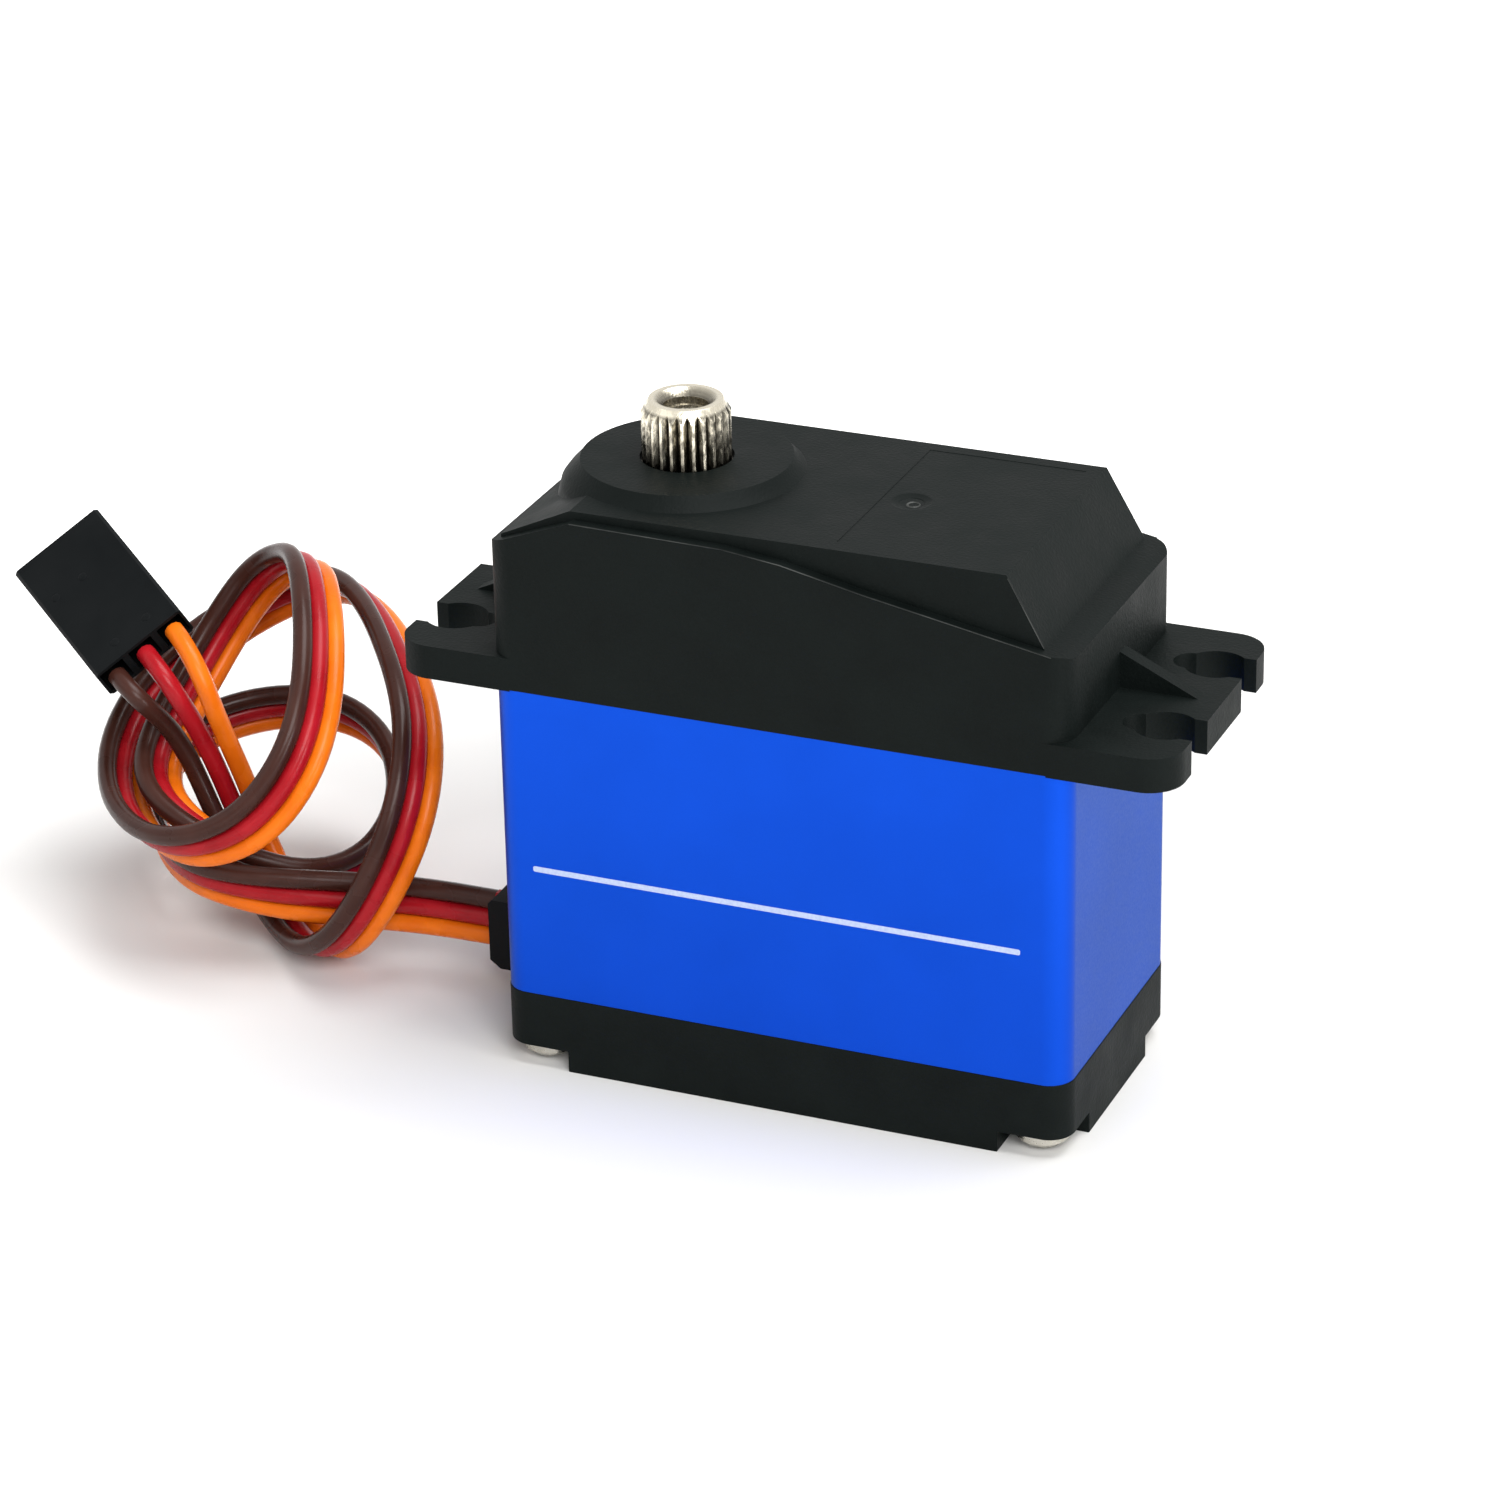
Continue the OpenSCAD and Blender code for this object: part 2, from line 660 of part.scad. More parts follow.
module motor_terminals() {
  top = motor_low;
  color([0.8, 0.75, 0.55]) for (sy = [-1, 1])
    translate([motor_x - terminal_w / 2, sy * terminal_y - terminal_t / 2, board_z - 0.4])
      cube([terminal_w, terminal_t, top - board_z + 0.4]);
}

module motor_screws() {
  head_low = z_deck - motor_head_h - 0.1;
  shank_low = deck_low - 1.6;
  color([0.75, 0.75, 0.77]) for (sy = [-1, 1]) translate([motor_x, sy * motor_screw_y, 0]) difference() {
    union() {
      translate([0, 0, shank_low]) cylinder(h = head_low - shank_low + eps, r = motor_screw_r);
      translate([0, 0, head_low]) cylinder(h = motor_head_h, r = motor_head_r);
    }
    for (a = [0, 90]) rotate(a) translate([-1, -0.25, head_low + 0.5]) cube([2, 0.5, 2]);
  }
}

module motor_shaft() {
  low = motor_low - 1.4;
  color([0.78, 0.78, 0.8]) translate([motor_x, 0, low])
    cylinder(h = z_wheel1 + face1 + pinion_over - low, r = motor_shaft_d / 2);
}

module motor_pinion() {
  face = face1 + 2 * pinion_over;
  color([0.83, 0.67, 0.32]) translate([motor_x, 0, z_wheel1 - pinion_over])
    spur(motor_module, motor_teeth, face, 180 + 180 / motor_teeth, motor_shaft_d / 2 + fit_gap);
}

core_slots = 5;
slot_r = core_r * 0.27;
slot_gap = 0.8;
slot_pitch_r = core_r - slot_r - 0.2;
core_h = core_top - core_low;

module rotor_core() {
  color([0.5, 0.5, 0.52]) translate([motor_x, 0, core_low]) difference() {
    ring(motor_shaft_d / 2 + fit_gap, core_r, core_h);
    for (k = [0 : core_slots - 1]) rotate(k * 360 / core_slots + 36) {
      translate([slot_pitch_r, 0, -1]) cylinder(h = core_h + 2, r = slot_r);
      translate([slot_pitch_r, -slot_gap / 2, -1]) cube([core_r, slot_gap, core_h + 2]);
    }
  }
}

module rotor_windings() {
  end_h = 0.9;
  winding_in = 2.3;
  color([0.75, 0.4, 0.15]) translate([motor_x, 0, core_low - end_h]) {
    for (k = [0 : core_slots - 1]) rotate(k * 360 / core_slots + 36) translate([slot_pitch_r, 0, 0])
      cylinder(h = core_h + 2 * end_h, r = slot_r - 0.1);
    for (z = [0, core_h + end_h + 0.05]) translate([0, 0, z])
      ring(winding_in, slot_pitch_r + slot_r, end_h - 0.05);
  }
}

module commutator() {
  color([0.8, 0.5, 0.3]) translate([motor_x, 0, commutator_low])
    ring(motor_shaft_d / 2 + fit_gap, commutator_r, 1.2);
}

// ---- Position sensor and circuit board ----

pot_r = 5;
pot_h = 5.5;
pot_shaft_r = 1.5;
pot_top = z_lower_bearing - 1.5;
pot_low = pot_top - pot_h;

// A round tongue with one flat
module pot_tongue(h, r) {
  intersection() {
    cylinder(h = h, r = r);
    translate([-r, -r, 0]) cube([2 * r, 1.6 * r, h]);
  }
}

module pot_body() {
  color([0.12, 0.2, 0.32]) translate([shaft_x, 0, 0]) difference() {
    union() {
      translate([0, 0, pot_low]) cylinder(h = pot_h, r = pot_r);
      translate([0, 0, pot_top - eps]) cylinder(h = 1.1 + eps, r = 2.9);
    }
    translate([0, 0, pot_low + 0.8]) cylinder(h = 10, r = pot_shaft_r + run_gap);
  }
}

module pot_shaft() {
  low = pot_low + 0.9;
  split = z_lower_bearing;
  color([0.85, 0.85, 0.85]) translate([shaft_x, 0, 0]) {
    translate([0, 0, low]) cylinder(h = split - low, r = pot_shaft_r);
    translate([0, 0, split - eps]) pot_tongue(z_deck - split, pot_shaft_r);
  }
}

module pot_leads() {
  pin_pitch = 0.4 * pot_r;
  pin_r = 0.07 * pot_r;
  color([0.9, 0.9, 0.9]) for (k = [-1 : 1])
    translate([shaft_x + k * pin_pitch, -1.5 * pin_pitch, board_z + board_t])
      cylinder(h = pot_low - board_z - board_t, r = pin_r);
}

module circuit_board() {
  x_high = case_l / 2 - wall - 0.4;
  half_y = case_w / 2 - wall - 0.4;
  notch = screw_end + column_r - wall;
  color([0.05, 0.3, 0.15]) difference() {
    translate([board_low_x, -half_y, board_z]) cube([x_high - board_low_x, 2 * half_y, board_t]);
    for (sy = [-1, 1]) {
      translate([screw_x - column_r - 0.3, sy * (half_y - notch / 2 + 0.5) - notch / 2 - 0.5, board_z - 1])
        cube([10, notch + 1, board_t + 2]);
      translate([motor_x - terminal_w / 2 - 0.1, sy * terminal_y - terminal_t / 2 - 0.1, board_z - 1])
        cube([terminal_w + 0.2, terminal_t + 0.2, board_t + 2]);
    }
  }
}

module board_chips() {
  chip_h = 0.9;
  controller = 5;
  driver = 3;
  driver_pitch = 4;
  low = board_z - chip_h;
  top = board_z + board_t;
  color([0.1, 0.1, 0.11]) {
    translate([-4.5, -controller / 2, top]) cube([controller, controller, chip_h]);
    for (k = [0 : 3], y = [-5, 2]) translate([k * driver_pitch - 6.8, y, low])
      cube([driver, driver, chip_h]);
    translate([13.8, -2, top]) cube([2.4, 3.6, chip_h - 0.1]);
  }
}

module board_capacitor() {
  color([0.75, 0.55, 0.15]) translate([-4, 3, board_z + board_t]) cube([3.2, 1.6, 1.4]);
}

// ---- Lead ----

boot_z = 4.6;
boot_face_x = -case_l / 2 - boot_l;
boot_neck_x = -case_l / 2 + wall + sleeve_inset;
lead_z = 5;
tail_end_x = board_low_x + 2.4;
wire_gap = 0.03;
wire_sides = 8;
wire_corner_r = (wire_d / 2 - wire_gap / 2) / cos(180 / wire_sides);

// Where the connector lies: the middle of the face that the wires enter, and its turn
plug_at = [-53.2, 2.8, 19.5];
plug_heading = 145.8;
plug_rise = 16;
plug_roll = 147;
plug_pitch = 2.54;
plug_run = [cos(plug_rise) * cos(plug_heading), cos(plug_rise) * sin(plug_heading), sin(plug_rise)];
plug_out = [-sin(plug_heading), cos(plug_heading), 0];
plug_up = [-sin(plug_rise) * cos(plug_heading), -sin(plug_rise) * sin(plug_heading), cos(plug_rise)];
plug_side = cos(plug_roll) * plug_out + sin(plug_roll) * plug_up;

// The free lead's route: X, Y, Z and the tilt of the flat lead about its run
lead_step = 6.8;
lead_lean = [0.35, 0.55, -0.75];
start_tilt = tilt_of([0, 0, -1], [-1, 0, 0]);
end_tilt = tilt_of(plug_side, plug_run);
lead_route = [
  [boot_face_x + lead_step, 0, lead_z, start_tilt],
  [boot_face_x, 0, lead_z, start_tilt],
  [boot_face_x - lead_step, 0, lead_z, start_tilt],
  [-39.5, -3, 5.5, 20], [-45.5, -4, 6, 10], [-50, -1, 5.5, 20], [-54.5, 4, 6, 25],
  [-56.5, 9.5, 8.5, 20], [-52, 14.5, 10.5, 5], [-45, 16.5, 11, -10], [-39.5, 14.5, 9, -20],
  [-36.5, 8.5, 6, -25], [-38, 2, 4, -25], [-43.5, -1.5, 7, -20], [-50.5, -1.5, 10, -15],
  [-53.3, 3, 11.5, -5], [-52.3, 9.5, 16, 0], [-49.5, 13, 22, 5], [-45, 11.5, 24.7, 10],
  [-41.7, 7, 25.7, 15], [-38.8, 2, 23.3, 15], [-37, -3, 18, 10], [-40, -6.5, 12, 10],
  [-46, -7, 9.5, 0], [-51.5, -3.5, 9, -10], [-55.5, 1.5, 10, -15], [-57, 7.5, 12.5, -10],
  [-54.5, 13.5, 16, 0], [-49.5, 16.5, 19, 5], [-44.5, 16, 21.2, 0], [-39.6, 12, 21.3, 5],
  [-35, 6.5, 20.6, 15], [-31, 1.5, 18, 15], [-30, -3, 12.5, 10], [-33, -5.5, 5.5, -10],
  [-37.5, -3, 1, -30], [-42.5, 1.5, 1, -40], [-47, 4, 6, -40], [-48.5, 3, 12.5, -60],
  concat(plug_at - plug_run * lead_step / 2, end_tilt),
  concat(plug_at, end_tilt),
  concat(plug_at + plug_run * lead_step / 2, end_tilt)
];
lead_spans = len(lead_route) - 3;
rings_per_span = 2;
split_spans = 3;

function unit(v) = v / norm(v);
function across(v, run) = unit(v - (v * run) * run);
function place(p) = [p[0], p[1], p[2]];
function tilt_of(v, run) =
  let (u = across(lead_lean, run), w = across(v, run))
  atan2(w * cross(run, u), w * u);

// A uniform cubic B-spline through the route, and its slope, at t counted in spans
function span_of(t) = min(floor(t), lead_spans - 1);
function blend(t) =
  let (u = t - span_of(t))
  [pow(1 - u, 3), 3 * pow(u, 3) - 6 * u * u + 4, -3 * pow(u, 3) + 3 * u * u + 3 * u + 1, pow(u, 3)] / 6;
function blend_slope(t) =
  let (u = t - span_of(t))
  [-pow(1 - u, 2), 3 * u * u - 4 * u, -3 * u * u + 2 * u + 1, u * u] / 2;
function mixed(weights, t) =
  let (k = span_of(t))
  weights * [for (i = [0 : 3]) lead_route[k + i]];
function smooth(u) = u * u * (3 - 2 * u);
function spread(t) =
  wire_d + (plug_pitch - wire_d) * smooth(max(0, (t - lead_spans + split_spans) / split_spans));

// [middle, direction of the lead's width, direction of its thickness, distance between wires]
function lead_frame(t) =
  let (
    here = mixed(blend(t), t),
    run = unit(place(mixed(blend_slope(t), t))),
    u = across(lead_lean, run),
    side = cos(here[3]) * u + sin(here[3]) * cross(run, u)
  )
  [place(here), side, cross(run, side), spread(t)];

lead_frames = [for (i = [0 : lead_spans * rings_per_span]) lead_frame(i / rings_per_span)];

// The same wires inside the boot and the case, where they turn flat to lie on the board
tail_turn_x = boot_neck_x + 1.1;
tail_flat_x = board_low_x - 0.2;
tail_frames = [
  for (x = [
    boot_face_x, boot_neck_x, for (k = [0 : 5]) tail_turn_x + k * (tail_flat_x - tail_turn_x) / 5,
    tail_end_x
  ])
    let (a = 90 * smooth(max(0, min(1, (x - tail_turn_x) / (tail_flat_x - tail_turn_x)))))
    [[x, 0, lead_z], [0, sin(a), -cos(a)], [0, -cos(a), -sin(a)], wire_d]
];

// A wire swept through frames, the given number of places beside the middle one
module wire(frames, beside) {
  sides = wire_sides;
  rings = len(frames);
  points = [for (f = frames, k = [0 : sides - 1])
    let (a = (k + 0.5) * 360 / sides)
    f[0] + (beside * f[3] + wire_corner_r * cos(a)) * f[1] + wire_corner_r * sin(a) * f[2]];
  walls = [for (i = [0 : rings - 2], k = [0 : sides - 1])
    let (a = i * sides + k, b = i * sides + (k + 1) % sides)
    each [[a, a + sides, b], [b, a + sides, b + sides]]];
  last = (rings - 1) * sides;
  ends = [for (k = [1 : sides - 2]) each [[0, k, k + 1], [last, last + k + 1, last + k]]];
  polyhedron(points, concat(walls, ends));
}

// The least gap between strands, on points along all three wires
gap_step = 0.2;
near_spans = 2.5;
function least_gap() =
  let (
    times = [for (t = [0 : gap_step : lead_spans]) t],
    strands = [for (t = times) let (f = lead_frame(t)) [for (s = [-1 : 1]) f[0] + s * f[3] * f[1]]],
    skip = ceil(near_spans / gap_step)
  )
  min([for (i = [0 : len(times) - 1 - skip], j = [i + skip : len(times) - 1])
    for (a = strands[i], b = strands[j]) norm(a - b)]) - wire_d;
function lead_length() =
  let (p = [for (t = [0 : gap_step : lead_spans]) lead_frame(t)[0]])
  [for (i = [1 : len(p) - 1]) norm(p[i] - p[i - 1])] * [for (i = [1 : len(p) - 1]) 1];
echo(least_gap = least_gap(), lead_length = lead_length());

module strain_relief() {
  lip_t = 1;
  lip_over = 0.8;
  bevel = 0.6;
  low = boot_z - boot_h / 2;
  high = boot_z + boot_h / 2;
  passage_r = wire_corner_r + 0.02;
  color([0.06, 0.06, 0.07]) difference() {
    union() {
      slab([
        [boot_face_x, high - 0.3], [boot_face_x, low + bevel], [boot_face_x + 1.3 * bevel, low],
        [boot_neck_x + 0.5, low], [boot_neck_x + 0.5, high], [boot_face_x + 0.3, high]
      ], boot_w);
      translate([boot_neck_x, -boot_w / 2 - lip_over, low - 0.4])
        cube([lip_t, boot_w + 2 * lip_over, boot_h + 0.8]);
    }
    translate([boot_face_x - 1, 0, lead_z]) rotate([90, 0, 90]) linear_extrude(boot_l + 8) {
      for (s = [-1, 1]) translate([0, s * wire_d]) circle(passage_r);
      square([2 * passage_r, 2 * wire_d], center = true);
    }
  }
}

module lead_tails() {
  color([0.5, 0.2, 0.12]) for (s = [-1 : 1]) wire(tail_frames, s);
}

module wire_ground() {
  color([0.33, 0.2, 0.16]) wire(lead_frames, -1);
}

module wire_power() {
  color([0.78, 0.16, 0.16]) wire(lead_frames, 0);
}

module wire_signal() {
  color([0.94, 0.58, 0.12]) wire(lead_frames, 1);
}

module at_plug() {
  translate(plug_at) rotate([plug_roll, -plug_rise, plug_heading]) children();
}

cavity = 2;
plug_front_wall = 1.2;

module plug_housing() {
  socket = 1;
  window = [2.6, 1.3];
  edge = 0.25;
  color([0.07, 0.07, 0.08]) at_plug() difference() {
    rotate([0, 90, 0]) linear_extrude(plug_l) polygon([
      for (s = [[1, 1], [-1, 1], [-1, -1], [1, -1]]) each
        (s[0] * s[1] > 0
          ? [[s[0] * plug_t / 2, s[1] * (plug_w / 2 - edge)], [s[0] * (plug_t / 2 - edge), s[1] * plug_w / 2]]
          : [
              [s[0] * (plug_t / 2 - edge), s[1] * plug_w / 2],
              [s[0] * plug_t / 2, s[1] * (plug_w / 2 - edge)]
            ])
    ]);
    for (s = [-1 : 1]) translate([0, s * plug_pitch, 0]) {
      translate([-1, -cavity / 2, -cavity / 2]) cube([plug_l - plug_front_wall + 1, cavity, cavity]);
      translate([0, -socket / 2, -socket / 2]) cube([plug_l + 1, socket, socket]);
      translate([plug_l * 0.55, -window[1] / 2, 0]) cube([window[0], window[1], plug_t]);
    }
  }
}

module plug_contacts() {
  body = cavity - 0.3;
  barrel_l = 3.4;
  barrel_r = 0.8;
  bore = 0.7;
  color([0.85, 0.7, 0.35]) at_plug() for (s = [-1 : 1]) translate([0, s * plug_pitch, 0]) difference() {
    union() {
      rotate([0, 90, 0]) cylinder(h = barrel_l + 0.1, r = barrel_r);
      translate([barrel_l, -body / 2, -body / 2])
        cube([plug_l - plug_front_wall - barrel_l - 0.1, body, body]);
    }
    translate([barrel_l + 2, -bore / 2, -bore / 2]) cube([plug_l, bore, bore]);
  }
}

top_case();
mid_case();
bottom_cover();
case_screws();
idler_pin();
output_gear();
gear_1();
gear_2();
gear_3();
upper_bearing_outer();
upper_bearing_inner();
upper_bearing_balls();
lower_bearing_outer();
lower_bearing_inner();
lower_bearing_balls();
motor_can();
motor_end_cap();
motor_magnets();
motor_bushing();
motor_brushes();
motor_terminals();
motor_screws();
motor_shaft();
motor_pinion();
rotor_core();
rotor_windings();
commutator();
pot_body();
pot_shaft();
pot_leads();
circuit_board();
board_chips();
board_capacitor();
strain_relief();
lead_tails();
wire_ground();
wire_power();
wire_signal();
plug_housing();
plug_contacts();
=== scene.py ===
import json
import math

import bmesh
import bpy
from mathutils import Matrix, Vector


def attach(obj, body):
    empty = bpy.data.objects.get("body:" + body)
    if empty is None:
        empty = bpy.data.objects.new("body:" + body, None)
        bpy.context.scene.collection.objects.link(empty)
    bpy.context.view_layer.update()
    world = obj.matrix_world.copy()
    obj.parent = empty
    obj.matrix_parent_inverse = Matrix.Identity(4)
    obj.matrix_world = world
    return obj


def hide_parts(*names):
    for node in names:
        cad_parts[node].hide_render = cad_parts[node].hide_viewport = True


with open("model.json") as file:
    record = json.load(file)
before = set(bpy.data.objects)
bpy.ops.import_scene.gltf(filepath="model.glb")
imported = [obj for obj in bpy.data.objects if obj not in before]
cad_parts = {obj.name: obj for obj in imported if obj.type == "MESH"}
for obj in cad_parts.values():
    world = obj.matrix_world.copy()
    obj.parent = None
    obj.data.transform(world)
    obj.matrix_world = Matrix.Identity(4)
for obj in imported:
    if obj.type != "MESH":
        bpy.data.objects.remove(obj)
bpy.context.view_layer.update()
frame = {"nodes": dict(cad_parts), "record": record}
nodes = frame["nodes"]
mm = 0.001


def addObject(name, data):
    made = bpy.data.objects.new(name, data)
    bpy.context.scene.collection.objects.link(made)
    return made


cameraSetup = {
    "place": (0.12387, -0.301734, 0.175794),
    "yaw": 23.284,
    "downward": 25.235,
    "roll": -1.2,
    "lens": 131.0,
    "sensor": 36.0,
    "nearest": 0.01,
    "farthest": 20,
}

camera = addObject("camera", bpy.data.cameras.new("camera"))
camera.data.lens = cameraSetup["lens"]
camera.data.sensor_width = cameraSetup["sensor"]
camera.data.clip_start = cameraSetup["nearest"]
camera.data.clip_end = cameraSetup["farthest"]
camera.matrix_world = (
    Matrix.Translation(cameraSetup["place"])
    @ Matrix.Rotation(math.radians(cameraSetup["yaw"]), 4, "Z")
    @ Matrix.Rotation(math.radians(90 - cameraSetup["downward"]), 4, "X")
    @ Matrix.Rotation(math.radians(cameraSetup["roll"]), 4, "Z")
)
bpy.context.scene.camera = camera
bpy.context.scene.view_settings.view_transform = "Standard"
print("camera ready")


def makeTree(name):
    material = bpy.data.materials.new(name)
    material.use_nodes = True
    tree = material.node_tree
    return material, tree, tree.nodes["Principled BSDF"]


def addNode(tree, kind, inputs=None, **settings):
    node = tree.nodes.new(kind)
    for key, value in settings.items():
        setattr(node, key, value)
    for key, value in (inputs or {}).items():
        node.inputs[key].default_value = value
    return node


def combine(tree, operation, first, second):
    node = addNode(tree, "ShaderNodeMath", operation=operation)
    tree.links.new(first, node.inputs[0])
    tree.links.new(second, node.inputs[1])
    return node.outputs["Value"]


# Takes a value from the range fromLow..fromHigh to the range low..high
def addRange(tree, value, low, high, fromLow=0.3, fromHigh=0.7):
    ramp = addNode(tree, "ShaderNodeMapRange", {
        "From Min": fromLow, "From Max": fromHigh, "To Min": low, "To Max": high})
    tree.links.new(value, ramp.inputs["Value"])
    return ramp.outputs["Result"]


# Rays that should meet a white background: those from the camera, off gloss and through glass
def seenRays(tree):
    rays = tree.nodes.new("ShaderNodeLightPath").outputs
    direct = combine(tree, "MAXIMUM", rays["Is Camera Ray"], rays["Is Glossy Ray"])
    return combine(tree, "MAXIMUM", direct, rays["Is Transmission Ray"])


white = (1, 1, 1, 1)

lightSetup = {
    "key": {"place": (0.34, -0.5, 0.48), "size": (0.4, 0.3), "power": 3.8},
    "fill": {"place": (-0.45, -0.45, 0.4), "size": (0.5, 0.4), "power": 0.4},
    "top": {"place": (0.26, 0.06, 0.8), "size": (0.55, 0.5), "power": 6.6},
    "corner": {"place": (0.55, -0.26, 0.1), "size": (0.16, 0.16), "power": 0.9},
    "aim": (0.0, 0.0, 0.02),
    "worldStrength": 0.25,
}

for lampName in ("key", "fill", "top", "corner"):
    lamp = lightSetup[lampName]
    data = bpy.data.lights.new(lampName + "Light", "AREA")
    data.shape = "RECTANGLE"
    data.size, data.size_y = lamp["size"]
    data.energy = lamp["power"]
    lampObject = addObject(lampName + "Light", data)
    lampObject.location = lamp["place"]
    aim = Vector(lightSetup["aim"]) - Vector(lamp["place"])
    lampObject.rotation_euler = aim.to_track_quat("-Z", "Y").to_euler()

world = bpy.data.worlds.new("studio")
bpy.context.scene.world = world
world.use_nodes = True
worldTree = world.node_tree
worldTree.nodes.clear()
worldOut = worldTree.nodes.new("ShaderNodeOutputWorld")
soft = addNode(worldTree, "ShaderNodeBackground", {"Color": white, "Strength": lightSetup["worldStrength"]})
seen = addNode(worldTree, "ShaderNodeBackground", {"Color": white, "Strength": 1.0})
pick = worldTree.nodes.new("ShaderNodeMixShader")
worldTree.links.new(seenRays(worldTree), pick.inputs["Fac"])
worldTree.links.new(soft.outputs["Background"], pick.inputs[1])
worldTree.links.new(seen.outputs["Background"], pick.inputs[2])
worldTree.links.new(pick.outputs["Shader"], worldOut.inputs["Surface"])

floorSetup = {
    "size": 6.0,
    "colour": (0.775, 0.77, 0.757, 1),
    "roughness": 0.75,
    "specular": 0.2,
    # painted glow on the floor for seen rays: faint beside the motor, full far from it, which fades the cast
    # shadow out away from the motor
    "paintedGlow": (0.02, 1.0),  # glow beside the motor and far from it
    "paintedGlowRadii": (0.045, 0.14),
}

floorMaterial, floorTree, floorShader = makeTree("paleFloor")
floorShader.inputs["Base Color"].default_value = floorSetup["colour"]
floorShader.inputs["Roughness"].default_value = floorSetup["roughness"]
floorShader.inputs["Specular IOR Level"].default_value = floorSetup["specular"]
floorPlace = floorTree.nodes.new("ShaderNodeTexCoord")
away = addNode(floorTree, "ShaderNodeVectorMath", operation="LENGTH")
floorTree.links.new(floorPlace.outputs["Object"], away.inputs[0])
# painted glow, growing with the distance from the motor
glowWithDistance = addRange(floorTree, away.outputs["Value"], *floorSetup["paintedGlow"], *floorSetup["paintedGlowRadii"])
floorShader.inputs["Emission Color"].default_value = white
floorTree.links.new(
    combine(floorTree, "MULTIPLY", seenRays(floorTree), glowWithDistance), floorShader.inputs["Emission Strength"])

floorMesh = bpy.data.meshes.new("floor")
floorBm = bmesh.new()
bmesh.ops.create_grid(floorBm, x_segments=1, y_segments=1, size=floorSetup["size"] / 2)
floorBm.to_mesh(floorMesh)
floorBm.free()
floor = addObject("floor", floorMesh)
floor.data.materials.append(floorMaterial)
print("light and floor ready")


def addNoise(tree, scale, detail=3.0, stretch=(1, 1, 1), roughness=0.55):
    place = tree.nodes.new("ShaderNodeTexCoord")
    mapping = addNode(tree, "ShaderNodeMapping", {"Scale": stretch})
    noise = addNode(tree, "ShaderNodeTexNoise", {"Scale": scale, "Detail": detail, "Roughness": roughness})
    tree.links.new(place.outputs["Object"], mapping.inputs["Vector"])
    tree.links.new(mapping.outputs["Vector"], noise.inputs["Vector"])
    return noise.outputs["Fac"]


def addTint(tree, shader, value, dark, light, fromLow=0.3, fromHigh=0.7):
    mix = addNode(tree, "ShaderNodeMix", data_type="RGBA")
    mix.inputs["A"].default_value = (*dark, 1)
    mix.inputs["B"].default_value = (*light, 1)
    tree.links.new(addRange(tree, value, 0.0, 1.0, fromLow, fromHigh), mix.inputs["Factor"])
    tree.links.new(mix.outputs["Result"], shader.inputs["Base Color"])


def addBump(tree, shader, value, strength, distance, below=None):
    bump = addNode(tree, "ShaderNodeBump", {"Strength": strength, "Distance": distance})
    tree.links.new(value, bump.inputs["Height"])
    if below is not None:
        tree.links.new(below, bump.inputs["Normal"])
    tree.links.new(bump.outputs["Normal"], shader.inputs["Normal"])
    return bump.outputs["Normal"]


plasticSetup = {"cloudScale": 260, "cloudDetail": 3, "grainDetail": 2}


def mouldedPlastic(
        name, dark, light, roughness=(0.5, 0.62), grain=4200, strength=0.35, depth=0.00002, gloss=0.085):
    material, tree, shader = makeTree(name)
    cloud = addNoise(tree, plasticSetup["cloudScale"], plasticSetup["cloudDetail"])
    addTint(tree, shader, cloud, dark, light)
    fine = addNoise(tree, grain, plasticSetup["grainDetail"])
    tree.links.new(addRange(tree, cloud, *roughness), shader.inputs["Roughness"])
    addBump(tree, shader, fine, strength, depth)
    shader.inputs["Specular IOR Level"].default_value = gloss
    return material


metalSetup = {"cloudScale": 500, "detail": 3}


def satinMetal(
        name, dark, light, roughness=(0.25, 0.4), stretch=(1, 1, 1), scale=4000, strength=0.15,
        depth=0.00001):
    material, tree, shader = makeTree(name)
    shader.inputs["Metallic"].default_value = 1.0
    grain = addNoise(tree, scale, metalSetup["detail"], stretch)
    addTint(tree, shader, addNoise(tree, metalSetup["cloudScale"], metalSetup["detail"]), dark, light)
    tree.links.new(addRange(tree, grain, *roughness), shader.inputs["Roughness"])
    addBump(tree, shader, grain, strength, depth)
    return material


anodisedSetup = {
    "metallic": 0.85,
    "specular": 0.2,
    "edgeTint": (0.8, 0.85, 0.35, 1),
    "grainScale": 6000,
    "blotchScale": 90,
    "detail": 3,
    "dark": (0.0036, 0.062, 0.53),
    "light": (0.0044, 0.069, 0.58),
    "roughness": (0.38, 0.48),
    "bump": (0.08, 0.00001),
}


def anodised(name, setup):
    material, tree, shader = makeTree(name)
    shader.inputs["Metallic"].default_value = setup["metallic"]
    shader.inputs["Specular IOR Level"].default_value = setup["specular"]
    shader.inputs["Specular Tint"].default_value = setup["edgeTint"]
    grain = addNoise(tree, setup["grainScale"], setup["detail"])
    blotch = addNoise(tree, setup["blotchScale"], setup["detail"])
    addTint(tree, shader, blotch, setup["dark"], setup["light"])
    tree.links.new(addRange(tree, grain, *setup["roughness"]), shader.inputs["Roughness"])
    addBump(tree, shader, grain, *setup["bump"])
    return material


sheathSetup = {
    "waveScale": 350,
    "grainScale": 5200,
    "detail": 2,
    "roughness": (0.22, 0.34),
    "waveBump": (0.25, 0.00015),
    "grainBump": (0.12, 0.00001),
    "specular": 0.18,
}


def wireSheath(name, dark, light):
    material, tree, shader = makeTree(name)
    wave = addNoise(tree, sheathSetup["waveScale"], sheathSetup["detail"])
    grain = addNoise(tree, sheathSetup["grainScale"], sheathSetup["detail"])
    addTint(tree, shader, wave, dark, light)
    tree.links.new(addRange(tree, wave, *sheathSetup["roughness"]), shader.inputs["Roughness"])
    waved = addBump(tree, shader, wave, *sheathSetup["waveBump"])
    addBump(tree, shader, grain, *sheathSetup["grainBump"], waved)
    shader.inputs["Specular IOR Level"].default_value = sheathSetup["specular"]
    return material
